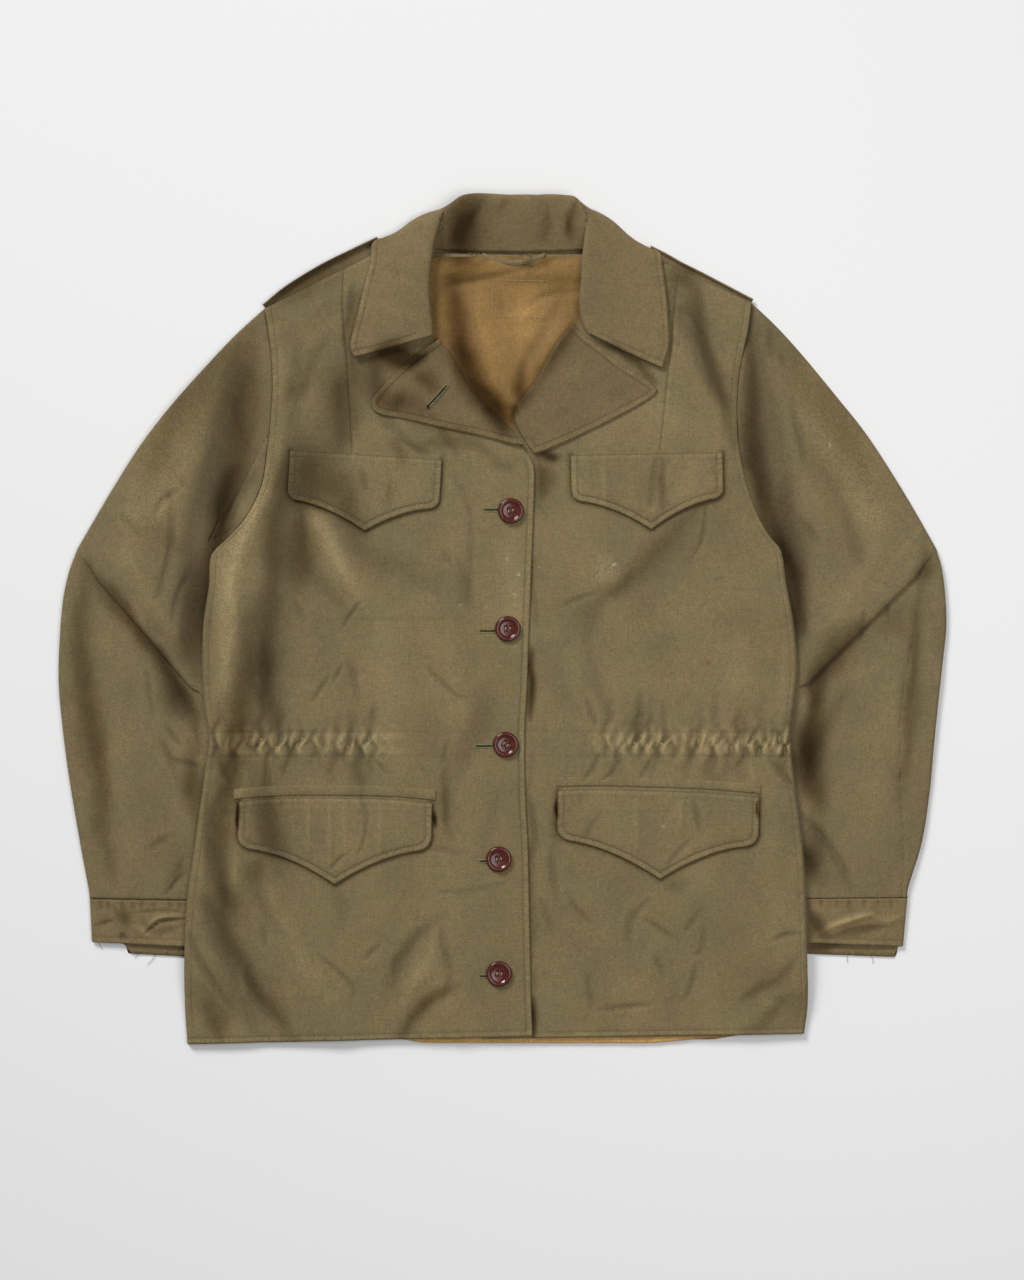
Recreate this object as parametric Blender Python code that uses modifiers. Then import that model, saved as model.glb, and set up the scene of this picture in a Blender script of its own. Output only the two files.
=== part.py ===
"""A field jacket laid flat on its back, buttoned, with its sleeves folded under its sides.

Run with: blender --background --python part.py

The frame is X to the wearer's left, Y towards the collar and Z up from the surface that the jacket lies on.
The tables are in millimetres. Each cloth piece is an open surface worked out from a table of sections and made
a wall by Solidify. The layers are stacked with heights over the surface: back, lining, fronts, then what lies on
the fronts. What hangs on a front is made from the front's own height, moved out.
"""

import math

import bmesh
import bpy
import numpy as np

MM = 0.001

# Walls, and the gaps between pieces
WALL = 1.3
LINING_WALL = 1.0
DOUBLE_WALL = 1.6
COLLAR_WALL = 2.0
SEAM_GAP = 0.35
LAY_GAP = 0.6
PATCH_GAP = 0.8

# Heights of the stacked layers over what the body lies on
LINING_TOP = WALL + LAY_GAP + LINING_WALL
FRONT_TOP = 6.0
FRONT_SEAM_HEIGHT = WALL + 0.5

# The right front lies over the left one along the buttons
LAP_RISE = 1.9
LAP_START_X = -52.0
LAP_RUN = 30.0

# The body is lifted where it lies on the sleeves, on the collar's fall and on the shoulder straps
SLEEVE_LIFT = 8.2
SLEEVE_LIFT_INSIDE = 40.0
SLEEVE_LIFT_RUN = 54.0
SLEEVE_LIFT_TOP = 58.0
SLEEVE_LIFT_TOP_RUN = 56.0
SLEEVE_LIFT_END = -366.0
SLEEVE_LIFT_END_RUN = 60.0
COLLAR_LIFT = 3.4
COLLAR_LIFT_Y = 300.0
COLLAR_LIFT_RUN = 14.0
COLLAR_CENTRE_X = 10.0
COLLAR_HALF_WIDTH = 130.0
STRAP_LIFT = 2.4
STRAP_WIDTH = 30.0
STRAP_LIFT_RUN = 24.0
STRAP_ENDS_X = (-86.0, 112.0)

# The waist, gathered by a cord that runs inside
WAIST_Y = -112.0
GATHER_HEIGHT = 1.5
GATHER_REACH = 13.0
GATHER_X = {"right": (-262.0, -88.0), "left": (80.0, 257.0)}

# Sections of each front from the shoulder to the hem: the armhole or side end, then the centre end
UNDERARM_ROW = 9
SIDE_X, SIDE_Y, CENTRE_X, CENTRE_Y = range(4)
FRONT_SECTIONS = {
    "right": [
        (-214, 281, -110, 333),
        (-211, 262, -87, 320),
        (-208, 236, -84, 298),
        (-207, 208, -80, 270),
        (-209, 178, -56, 246),
        (-212, 150, -37, 216),
        (-217, 120, -15, 188),
        (-231, 92, 4, 171),
        (-247, 74, 18, 155),
        (-263, 57, 28, 138),
        (-264.5, 30, 28, 103),
        (-269, -5, 26, 50),
        (-270, -42, 24, -5),
        (-268, -78, 22, -62),
        (-264, -100, 20, -96),
        (-264, -112, 20, -110),
        (-266, -125, 20, -125),
        (-271, -162, 21, -165),
        (-277, -205, 23, -205),
        (-284, -255, 24, -255),
        (-286, -305, 25, -305),
        (-286, -350, 26, -348),
        (-284, -382, 27, -374.5),
    ],
    "left": [
        (224, 286, 148, 321),
        (221, 262, 101, 317),
        (216, 238, 97, 298),
        (212, 212, 93, 276),
        (211, 182, 66, 266),
        (213, 155, 50, 244),
        (219, 125, 33, 213),
        (229, 96, 17, 183),
        (240, 76, 2, 160),
        (252, 60, -14, 135),
        (256, 31, -17, 100),
        (262, -5, -18, 50),
        (265, -42, -18, -5),
        (262, -78, -18, -62),
        (259, -100, -18, -96),
        (259, -112, -18, -110),
        (260, -125, -18, -125),
        (265, -162, -18, -165),
        (270, -205, -18, -205),
        (273, -255, -18, -255),
        (274, -305, -18, -305),
        (275, -345, -18, -348),
        (272, -372.5, -18, -377),
    ],
}

# The largest folds of the fronts: a ridge or, with a height below 0, a trough from one end to the other
FOLDS = [
    # x0, y0, x1, y1, half width, height
    (-152, 261, -191, 220, 15, 2.0),
    (-168, 238, -188, 196, 13, -1.2),
    (-196, 111, -180, 50, 15, -1.2),
    (-178, 97, -137, 14, 17, 2.2),
    (-218, 45, -236, -72, 15, -0.9),
    (-115, 68, -56, 50, 16, 1.5),
    (-70, -40, -44, -70, 14, -0.9),
    (-250, -165, -256, -279, 14, -0.9),
    (-206, -255, -153, -372, 19, 2.3),
    (-236, -296, -212, -372, 15, -1.1),
    (-52, -280, -56, -372, 16, 1.4),
    (178, 288, 199, 229, 15, 1.6),
    (161, 262, 176, 190, 16, -1.1),
    (180, 104, 88, 18, 19, 2.4),
    (196, 72, 134, 4, 15, -1.1),
    (74, -12, 88, -92, 15, -1.1),
    (50, -18, 58, -90, 15, 1.4),
    (115, -240, 115, -318, 15, -0.9),
    (262, -313, 208, -352, 15, -1.1),
    (266, -338, 226, -372, 15, 1.8),
]
DEEPEST_TROUGH = -1.3

# Sections of each sleeve from the armhole to the cuff: the outer edge, the inner edge under the body and the height
OUTER_X, OUTER_Y, INNER_X, INNER_Y, HEIGHT = range(5)
SLEEVE_BOW = [1.0, 0.7, 0.4, 0.15]
UNDERARM_BULGE = [0.0, 12.0, 12.0, 9.0, 6.0, 3.0]
SLEEVE_EDGE = 5.2
SLEEVE_SECTIONS = {
    "right": [
        (-214.6, 281.3, -264.4, 55.2, 6.2),
        (-242, 256, -269.5, 26, 6.4),
        (-272, 224, -268.5, -2, 6.6),
        (-300, 192, -260, -22, 6.8),
        (-326, 158, -254, -38, 7.0),
        (-349, 122, -249, -60, 7.4),
        (-368, 90, -245, -80, 8.2),
        (-383, 64, -243, -98, 8.8),
        (-384.2, 61, -242.8, -101, 6.4),
        (-391, 42, -242, -104, 6.6),
        (-396, 18, -241, -114, 6.6),
        (-399, -16, -240, -128, 6.6),
        (-400, -55, -240, -147, 6.6),
        (-397, -92, -241, -168, 6.6),
        (-392, -132, -242, -190, 6.5),
        (-386, -170, -244, -212, 6.4),
        (-379, -210, -247, -233, 6.2),
        (-373, -242, -250, -247, 6.0),
        (-372, -251, -251, -253, 5.6),
    ],
    "left": [
        (224.8, 286.3, 253.4, 58.2, 6.2),
        (248, 264, 262, 28, 6.4),
        (272, 237, 262.5, -2, 6.6),
        (303, 199, 256, -20, 6.8),
        (326, 170, 250, -34, 7.0),
        (348, 137, 245, -52, 7.4),
        (370, 101, 242, -68, 8.2),
        (391, 64, 239, -86, 8.8),
        (391.8, 61, 238.8, -89, 6.4),
        (396, 46, 238, -94, 6.6),
        (399, 22, 237, -105, 6.6),
        (400, -6, 237, -120, 6.6),
        (397, -36, 237, -136, 6.6),
        (393, -72, 237, -158, 6.6),
        (389, -112, 238, -182, 6.6),
        (385, -155, 239, -206, 6.5),
        (378, -200, 241, -230, 6.3),
        (366, -240, 244, -245, 6.0),
        (365, -250, 245, -251, 5.6),
    ],
}

# Each cuff: its four corners, and how far its under layer reaches past the upper one
CUFFS = {
    "right": dict(outer=(-372, -251.7), inner=(-251, -253.7), outer_end=(-370, -290), inner_end=(-250, -296),
                  under_from=-337, under_to=-250, under_reach=9.0),
    "left": dict(outer=(365, -250.7), inner=(245, -251.7), outer_end=(361, -294), inner_end=(246, -290),
                 under_from=357, under_to=246, under_reach=10.0),
}
CUFF_HEIGHT = 5.4
CUFF_EDGE = 4.6

# The collar from the wearer's right front end to the left one: neck seam, roll line, middle and edge of the fall
COLLAR_SECTIONS = [
    # neck x, y, z; roll x, y, z; middle x, y, z; edge x, y, z; which side of the roll is on top
    (-76, 259, 9.6, -63, 256, 12.6, -98, 245, 10.6, -133, 236, 10.4, 1.0),
    (-78, 268, 8.8, -63, 265, 13.0, -100, 256, 11.5, -137, 247, 10.4, 1.0),
    (-81, 283, 8.8, -65, 279, 15.0, -98, 276, 12.0, -130, 277, 9.8, 1.0),
    (-82, 303, 8.0, -66, 301, 17.0, -96, 301, 13.0, -124, 302, 9.8, 1.0),
    (-78, 322, 7.6, -64, 322, 18.0, -93, 323, 13.0, -119, 322, 9.8, 1.0),
    (-68, 333, 7.4, -60, 343, 19.0, -88, 346, 12.0, -116, 340, 8.0, 0.8),
    (-60, 334, 6.8, -54, 362, 19.5, -80, 359, 9.0, -100, 337, 1.35, 0.1),
    (-50, 333, 6.0, -44, 374, 19.5, -58, 366, 6.5, -76, 326, 1.35, -0.7),
    (-30, 332, 5.4, -28, 381, 19.0, -31, 366, 4.4, -42, 318, 1.35, -1.0),
    (10, 331, 5.4, 11, 380, 18.0, 11, 365, 4.2, 11, 315, 1.35, -1.0),
    (52, 332, 5.4, 52, 380, 19.0, 53, 366, 4.4, 62, 318, 1.35, -1.0),
    (68, 333, 6.0, 67, 376, 19.5, 80, 366, 6.5, 96, 324, 1.35, -0.7),
    (78, 333, 6.8, 75, 360, 19.5, 100, 357, 9.0, 122, 331, 1.35, 0.1),
    (84, 331, 7.4, 74, 341, 19.0, 108, 341, 12.0, 141, 330, 9.4, 0.8),
    (89, 320, 7.6, 72, 322, 18.0, 108, 321, 13.0, 144, 317, 10.4, 1.0),
    (92, 302, 8.0, 71, 301, 17.0, 108, 299, 13.0, 147, 298, 9.8, 1.0),
    (90, 283, 8.8, 69, 284, 15.0, 108, 279, 12.0, 149, 276, 9.8, 1.0),
    (88, 268, 8.8, 72, 268, 13.0, 108, 258, 11.5, 150, 247, 9.6, 1.0),
    (88, 261, 9.8, 77, 258, 12.8, 106, 243, 10.6, 144, 226, 9.6, 1.0),
]

# Each lapel from its gorge to its lower end: the roll line, then the outer edge
LAPEL_SECTIONS = {
    "right": [
        (-57, 253, -65, 247),
        (-54, 248, -80, 237),
        (-49, 243, -98, 221),
        (-41, 229, -112, 206),
        (-32, 214, -118, 196),
        (-23, 202, -112, 186),
        (-10, 189, -84, 180),
        (2, 178, -50, 172),
        (12, 167, -17, 165),
        (20, 157, 9, 158),
    ],
    "left": [
        (63, 267, 75, 255),
        (59, 262, 91, 243),
        (54, 256, 109, 229),
        (48, 248, 126, 219),
        (41, 236, 137, 210),
        (35, 225, 139, 205),
        (29, 214, 131, 198),
        (22, 203, 113, 188),
        (16, 191, 82, 172),
        (14, 181, 58, 162),
        (19, 168, 35, 153),
    ],
}
LAPEL_ROLL = 2.2

# Pocket flaps: the two ends of the sewn edge, depth of the sides and depth of the point
FLAPS = {
    "right_chest_flap": dict(start=(-191, 152.5), end=(-54.5, 144), side=44, point=74, where=0.52, corner=9),
    "left_chest_flap": dict(start=(61.5, 148), end=(198, 150.5), side=41, point=68, where=0.52, corner=9),
    "right_hip_flap": dict(start=(-240, -162), end=(-61.5, -164), side=43, point=75, where=0.5, corner=12),
    "left_hip_flap": dict(start=(50, -153.5), end=(230.5, -159), side=44, point=77, where=0.52, corner=12),
}
FLAP_POINT_POWER = 1.8
WELTS = {
    "right_hip_welt": dict(start=(-241, -157.5), end=(-60, -159), rise=6.5),
    "left_hip_welt": dict(start=(48.5, -147.5), end=(232, -153.5), rise=5.5),
}

# Buttons
BUTTON_CENTRES = [(7.6, 98), (4.9, -8), (2.9, -112), (-3.2, -215), (-3.0, -318)]
BUTTON_RADIUS = 11.4
BUTTON_HEIGHT = 3.4
BUTTON_LIFT = 1.3
BUTTON_HOLE_RADIUS = 0.9
BUTTON_HOLE_OFFSET = 1.9

# Shoulder straps: their outer edge past the shoulder line
STRAP_EDGES = {
    "right": [(-216, 284), (-195, 301), (-164, 320), (-138, 333), (-113, 345)],
    "left": [(226, 289), (205, 300), (182, 312), (162, 322), (148, 330)],
}

OLIVE = ("cotton_olive", (0.180, 0.145, 0.078), 0.88)
OLIVE_FADED = ("cotton_olive_faded", (0.200, 0.155, 0.086), 0.88)
TAN = ("lining_tan", (0.245, 0.155, 0.066), 0.9)
BROWN_PLASTIC = ("button_brown", (0.060, 0.018, 0.012), 0.28)


# ---------------------------------------------------------------- curves and heights


def smooth(t):
    """0 below 0, 1 above 1, and an S-shaped rise between."""
    t = np.clip(t, 0.0, 1.0)
    return t * t * (3.0 - 2.0 * t)


def spline(table, at):
    """A smooth curve through the rows of a table, read at row numbers that need not be whole."""
    rows = np.asarray(table, float)
    at = np.clip(np.asarray(at, float), 0, len(rows) - 1)
    low = np.minimum(at.astype(int), len(rows) - 2)
    slope = np.gradient(rows, axis=0)
    t = (at - low)[..., None]
    a, b = rows[low], rows[low + 1]
    return (
        a * (1 + 2 * t) * (1 - t) ** 2
        + slope[low] * t * (1 - t) ** 2
        + b * t * t * (3 - 2 * t)
        + slope[low + 1] * t * t * (t - 1)
    )


def side_x(side, y):
    """X of the body's side edge at height y, from the underarm to the hem."""
    rows = np.array(FRONT_SECTIONS[side][UNDERARM_ROW:], float)
    return np.interp(-y, -rows[:, SIDE_Y], rows[:, SIDE_X])


def shoulder_y(side, x):
    """Y of the shoulder line over x."""
    rows = np.array(sorted(STRAP_EDGES[side]), float)
    return np.interp(x, rows[:, 0], rows[:, 1])


def support(x, y):
    """Height of what the body lies on: the sleeves, the collar's fall and the shoulder straps."""
    below = smooth((SLEEVE_LIFT_TOP - y) / SLEEVE_LIFT_TOP_RUN) * smooth((y - SLEEVE_LIFT_END) / SLEEVE_LIFT_END_RUN)
    inside = np.minimum(x - side_x("right", y), side_x("left", y) - x)
    sleeves = SLEEVE_LIFT * (1 - smooth((inside - SLEEVE_LIFT_INSIDE) / SLEEVE_LIFT_RUN)) * below
    off_centre = np.abs(x - COLLAR_CENTRE_X)
    fall = COLLAR_LIFT * smooth((y - COLLAR_LIFT_Y) / COLLAR_LIFT_RUN) * smooth((COLLAR_HALF_WIDTH - off_centre) / 20)
    past_line = np.maximum(y - shoulder_y("right", x), y - shoulder_y("left", x))
    along = np.maximum(smooth((STRAP_ENDS_X[0] - x) / 14), smooth((x - STRAP_ENDS_X[1]) / 14))
    strap = STRAP_LIFT * smooth((past_line + STRAP_WIDTH * 1.15 + STRAP_LIFT_RUN) / STRAP_LIFT_RUN) * along
    return sleeves + np.maximum(fall, strap)


def folds(x, y):
    """Sum of the fronts' ridges and troughs, each a soft bank along its own line."""
    total = np.zeros(np.broadcast(x, y).shape)
    for x0, y0, x1, y1, width, height in FOLDS:
        dx, dy = x1 - x0, y1 - y0
        along = np.clip(((x - x0) * dx + (y - y0) * dy) / (dx * dx + dy * dy), 0, 1)
        away = np.hypot(x - x0 - along * dx, y - y0 - along * dy)
        total = total + height * np.exp(-((away / width) ** 2))
    return np.maximum(total, DEEPEST_TROUGH)


def left_top(x, y):
    """Height of the left front's outer face."""
    return support(x, y) + FRONT_TOP + folds(x, y)


def right_top(x, y):
    """Height of the right front's outer face, which laps over the left front."""
    return left_top(x, y) + LAP_RISE * smooth((x - LAP_START_X) / LAP_RUN)


TOPS = {"right": right_top, "left": left_top}


# ---------------------------------------------------------------- Blender objects


def material(spec):
    name, colour, roughness = spec
    found = bpy.data.materials.get(name)
    if found:
        return found
    made = bpy.data.materials.new(name)
    made.use_nodes = True
    shader = made.node_tree.nodes["Principled BSDF"]
    shader.inputs["Base Color"].default_value = (*colour, 1.0)
    shader.inputs["Roughness"].default_value = roughness
    shader.inputs["Metallic"].default_value = 0.0
    return made


def link(obj, spec, jacket):
    obj.data.materials.append(material(spec))
    jacket.objects.link(obj)
    return obj


def sheet(name, points, faces, wall, offset, spec, jacket):
    """An open surface of points in millimetres, made a wall by Solidify."""
    mesh = bpy.data.meshes.new(name)
    mesh.from_pydata((np.asarray(points, float) * MM).tolist(), [], faces)
    mesh.validate()
    mesh.shade_smooth()
    obj = bpy.data.objects.new(name, mesh)
    wall_maker = obj.modifiers.new("wall", "SOLIDIFY")
    wall_maker.thickness = wall * MM
    wall_maker.offset = offset
    return link(obj, spec, jacket)


def grid_faces(rows, columns, closed=False, flip=False):
    """Four-sided faces over a grid of points, row after row. Closed joins the last column to the first."""
    faces = []
    for i in range(rows - 1):
        for j in range(columns if closed else columns - 1):
            a, b = i * columns + j, i * columns + (j + 1) % columns
            face = (a, b, b + columns, a + columns)
            faces.append(face[::-1] if flip else face)
    return faces


def banded_faces(stations, flip):
    """Faces between rows whose columns differ. Each row lists its columns' stations; whole ones are in every row."""
    starts = np.cumsum([0] + [len(s) for s in stations])
    faces = []
    for i in range(len(stations) - 1):
        upper, lower = np.asarray(stations[i]), np.asarray(stations[i + 1])
        for cell in range(int(upper[-1])):
            first = np.where((upper >= cell) & (upper <= cell + 1))[0] + starts[i]
            second = np.where((lower >= cell) & (lower <= cell + 1))[0] + starts[i + 1]
            if len(first) == len(second):
                for k in range(len(first) - 1):
                    face = (first[k], first[k + 1], second[k + 1], second[k])
                    faces.append([int(n) for n in (face[::-1] if flip else face)])
            else:
                face = [int(n) for n in (*first, *second[::-1])]
                faces.append(face[::-1] if flip else face)
    return faces


# ---------------------------------------------------------------- body panels

# A front turns down to its seams: distances in from the edge, and how much of the drop is left there
ROLL_COLUMNS = [(0.0, 1.0), (0.0, 0.5), (1.2, 0.15), (4.0, 0.0)]
ROLL_ROWS = [(0.0, 1.0), (0.0, 0.5), (0.06, 0.15), (0.2, 0.0)]

# Distances in from the side edge at which a body panel has columns, and the finer columns at the gathered waist
RAMP_COLUMNS = [20.0, 40.0, 53.0, 67.0, 81.0, 95.0]
TOP_CELLS = 9
GATHER_COLUMN = 6.2
ROWS_ABOVE_WAIST = [1, 2, 3, 4, 5, 6, 7, 8, 9, 9.5, 10, 10.5, 11, 11.5, 12, 12.5, 13]
GATHER_ROWS = [13.6, 14.3, 14.7, 15.0, 15.3, 15.7, 16.3]
ROWS_BELOW_WAIST = [17, 17.5, 18, 18.5, 19, 19.4, 19.8, 20.3, 21, 22]


def front_panel(side, surfaces, jacket):
    """A front from shoulder to hem, rolled down at its shoulder and side, with gathers across the waist."""
    top = TOPS[side]
    points, stations = [], []
    rows = [(row, down) for row, down in ROLL_ROWS]
    rows += [(row, 0.0) for row in ROWS_ABOVE_WAIST + GATHER_ROWS + ROWS_BELOW_WAIST]
    roll_distances = np.array([distance for distance, _ in ROLL_COLUMNS])
    roll_drops = np.array([drop for _, drop in ROLL_COLUMNS])
    for row, row_drop in rows:
        section = spline(FRONT_SECTIONS[side], [row])[0]
        start, end = section[:2], section[2:]
        length = np.hypot(*(end - start))
        distances = [*roll_distances, *RAMP_COLUMNS]
        distances += list(np.linspace(RAMP_COLUMNS[-1], length, TOP_CELLS + 1)[1:])
        marks = list(range(len(distances)))
        if row in GATHER_ROWS:
            few, few_marks = distances, marks
            distances, marks = few[:4], [float(m) for m in few_marks[:4]]
            for k in range(4, len(few)):
                share = max(1, round((few[k] - few[k - 1]) / GATHER_COLUMN))
                for step in range(1, share + 1):
                    distances.append(few[k - 1] + (few[k] - few[k - 1]) * step / share)
                    marks.append(k - 1 + step / share)
        distances = np.array(distances)
        xy = start + (end - start) * (distances / length)[:, None]
        x, y = xy[:, 0], xy[:, 1]
        z = top(x, y)
        if row in GATHER_ROWS:
            low, high = GATHER_X[side]
            zone = smooth((x - low) / 8) * smooth((high - x) / 8)
            reach = np.exp(-(((y - WAIST_Y) / GATHER_REACH) ** 2))
            uneven = 1 + 0.3 * np.sin(1.7 * np.arange(len(x)))
            z = z + GATHER_HEIGHT * zone * reach * np.where(np.arange(len(x)) % 2, uneven, -0.45)
        drop = np.full(len(x), row_drop)
        if row >= UNDERARM_ROW:
            drop[:4] = np.maximum(drop[:4], roll_drops)
        z = z + (support(x, y) + FRONT_SEAM_HEIGHT - z) * drop
        if row < UNDERARM_ROW:
            x[1] = x[0] + (x[2] - x[0]) / 2
            y[1] = y[0] + (y[2] - y[0]) / 2
        points += list(zip(x, y, z))
        stations.append(marks)
    faces = banded_faces(stations, flip=side == "right")
    surfaces[side] = (np.array(points), triangles(faces))
    return sheet(f"{side}_front", points, faces, WALL, -1.0, OLIVE, jacket)


def triangles(faces):
    """Faces as triangles that share their first corner."""
    return np.array([(f[0], f[k], f[k + 1]) for f in faces for k in range(1, len(f) - 1)])


def height_over(surface, x, y, outside):
    """Height of a panel's surface over x and y, or the height given for where the panel isn't."""
    corners = surface[0][surface[1]]
    a, b, c = corners[:, 0], corners[:, 1], corners[:, 2]
    area = (b[:, 0] - a[:, 0]) * (c[:, 1] - a[:, 1]) - (c[:, 0] - a[:, 0]) * (b[:, 1] - a[:, 1])
    safe = np.where(np.abs(area) < 1e-9, np.inf, area)
    dx = np.asarray(x, float)[:, None] - a[:, 0]
    dy = np.asarray(y, float)[:, None] - a[:, 1]
    to_b = (dx * (c[:, 1] - a[:, 1]) - dy * (c[:, 0] - a[:, 0])) / safe
    to_c = (dy * (b[:, 0] - a[:, 0]) - dx * (b[:, 1] - a[:, 1])) / safe
    inside = (to_b >= -1e-6) & (to_c >= -1e-6) & (to_b + to_c <= 1 + 1e-6) & (np.abs(area) > 1e-9)
    z = a[:, 2] + to_b * (b[:, 2] - a[:, 2]) + to_c * (c[:, 2] - a[:, 2])
    highest = np.where(inside, z, -np.inf).max(axis=1)
    return np.where(np.isfinite(highest), highest, outside)


BACK_ROWS = [0, 0.5, 1, 2, 3, 4, 5, 6, 7, 8, 9, 9.5, 10, 11, 12, 13, 15, 17, 18, 19, 19.4, 19.8, 20.3, 21, 22]
BACK_TOP_LINE = [(-214, 281), (-170, 303), (-112, 328), (-64, 330.5), (10, 329), (86, 329.5), (146, 318), (224, 286)]
BACK_HEM = [(-286, -378.5), (-278, -381.0), (-218, -381.0), (-200, -378.0), (190, -378.0), (214, -374.0), (274, -371.2)]
BACK_CENTRE_CELLS = 12


def back_panel(surfaces, jacket):
    """The back from the shoulders and neck to the hem, lying on what is under it."""
    points = []
    top_line = np.array(BACK_TOP_LINE, float)
    hem = np.array(BACK_HEM, float)

    def rise(share):
        x = top_line[0, 0] + (top_line[-1, 0] - top_line[0, 0]) * share
        return np.interp(x, top_line[:, 0], top_line[:, 1]) - top_line[0, 1] - (top_line[-1, 1] - top_line[0, 1]) * share

    for row in BACK_ROWS:
        start = spline(FRONT_SECTIONS["right"], [row])[0][:2]
        end = spline(FRONT_SECTIONS["left"], [row])[0][:2]
        length = end[0] - start[0]
        edge = [0.0, *RAMP_COLUMNS]
        middle = list(np.linspace(edge[-1], length - edge[-1], BACK_CENTRE_CELLS + 1))
        distances = np.array(edge[:-1] + middle + [length - d for d in edge[-2::-1]])
        x = start[0] + distances
        share = distances / length
        flat = start[1] + (end[1] - start[1]) * share
        y = flat + rise(share) * (1 - smooth(row / 5))
        if row == BACK_ROWS[-1]:
            y = np.interp(x, hem[:, 0], hem[:, 1])
        points += list(zip(x, y, support(x, y) + WALL))
    columns = len(points) // len(BACK_ROWS)
    faces = grid_faces(len(BACK_ROWS), columns, flip=True)
    surfaces["back"] = (np.array(points), triangles(faces))
    return sheet("back", points, faces, WALL, -1.0, OLIVE, jacket)


LINING_SECTIONS = [
    # y of the section, x of its two ends
    (327, -60, 82),
    (321, -72, 94),
    (314, -86, 104),
    (307, -96, 112),
    (300, -104, 120),
    (292, -112, 128),
    (200, -122, 122),
    (60, -170, 160),
    (-120, -170, 160),
    (-330, -106, 196),
    (-381, -104, 197),
]


def back_lining(surfaces, jacket):
    """The lining of the back, seen in the neck and past the front hem."""
    points = []
    for y, low, high in LINING_SECTIONS:
        x = np.linspace(low, high, 9)
        under = height_over(surfaces["back"], x, np.full(9, float(y)), support(x, y) + WALL)
        points += [(x[k], y, under[k] + LAY_GAP + LINING_WALL) for k in range(9)]
    faces = grid_faces(len(LINING_SECTIONS), 9, flip=True)
    return sheet("back_lining", points, faces, LINING_WALL, -1.0, TAN, jacket)


# ---------------------------------------------------------------- sleeves and cuffs



def armhole_line(side, count):
    """Shares along the straight line between the armhole's ends, and how far the seam bows out from it."""
    rows = spline(FRONT_SECTIONS[side], np.linspace(0, UNDERARM_ROW, count))[:, :2]
    chord = rows[-1] - rows[0]
    share = ((rows - rows[0]) @ chord) / (chord @ chord)
    run = np.gradient(rows, axis=0)
    run /= np.linalg.norm(run, axis=1)[:, None]
    away = np.stack([run[:, 1], -run[:, 0]], 1) * (1 if side == "right" else -1)
    return share, rows - (rows[0] + share[:, None] * chord) + away * SEAM_GAP


EDGE_TURN = np.radians([-90, -50, 0, 50])
UNDER_COLUMNS = [8, 7, 6, 5, 4, 3, 2, 1]


def tube_ring(line, height, edge):
    """One ring of a flattened tube over a line across it: under layer, outer edge, upper layer, inner edge."""
    radius = edge / 2
    first = (line[1] - line[0]) / np.hypot(*(line[1] - line[0]))
    last = (line[-2] - line[-1]) / np.hypot(*(line[-2] - line[-1]))
    width = np.hypot(*(line[-1] - line[0]))
    ring = [(*line[column], 0.0) for column in UNDER_COLUMNS]
    for angle in EDGE_TURN:
        ring.append((*(line[0] + first * radius * (1 - math.cos(angle))), radius + radius * math.sin(angle)))
    upper = [line[0] + first * radius, *line[1:-1], line[-1] + last * radius]
    for at in upper:
        q = np.clip(np.hypot(*(at - line[0])), 0, width)
        crown = (1 - math.exp(-q / 22)) * (1 - math.exp(-(width - q) / 22))
        ring.append((*at, edge + (height - edge) * crown))
    for angle in EDGE_TURN[::-1]:
        ring.append((*(line[-1] + last * radius * (1 - math.cos(angle))), radius + radius * math.sin(angle)))
    return ring


def under_body(ring, side):
    """Keeps a ring of a sleeve under the body's side where the two overlap."""
    ring = np.array(ring)
    x, y, z = ring.T
    outside = np.maximum((side_x(side, y) - x) * (1 if side == "right" else -1) - 3, 0)
    limit = support(x, y) - LAY_GAP + outside * 0.3
    ring[:, 2] = np.where(y < SLEEVE_LIFT_TOP - SLEEVE_LIFT_TOP_RUN, np.minimum(z, np.maximum(limit, SLEEVE_EDGE)), z)
    return ring


def sleeve(side, jacket):
    """A sleeve as one flattened tube from the armhole to the cuff seam, stepped down at the elbow's fold."""
    along, bow = armhole_line(side, UNDERARM_ROW + 1)
    spread = np.linspace(0, 1, UNDERARM_ROW + 1) ** 1.25
    outward = -1.0 if side == "right" else 1.0
    rings = []
    for k, section in enumerate(np.array(SLEEVE_SECTIONS[side], float)):
        share = SLEEVE_BOW[k] if k < len(SLEEVE_BOW) else 0.0
        bulge = UNDERARM_BULGE[k] if k < len(UNDERARM_BULGE) else 0.0
        outer, inner = section[:2], section[2:4]
        if k == 0:
            line = outer + (inner - outer) * along[:, None] + bow
        else:
            fade = 1 - smooth((along - 0.7) / 0.25)[:, None]
            line = outer + (inner - outer) * spread[:, None] + bow * share * fade
            line[:, 0] += outward * bulge * np.sin(math.pi * spread**2)
        ring = tube_ring(line, section[HEIGHT], SLEEVE_EDGE)
        rings.append(under_body(ring, side))
    points = [p for ring in rings for p in ring]
    faces = grid_faces(len(rings), len(rings[0]), closed=True, flip=side == "right")
    return sheet(f"{side}_sleeve", points, faces, WALL, -1.0, OLIVE, jacket)


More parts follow.
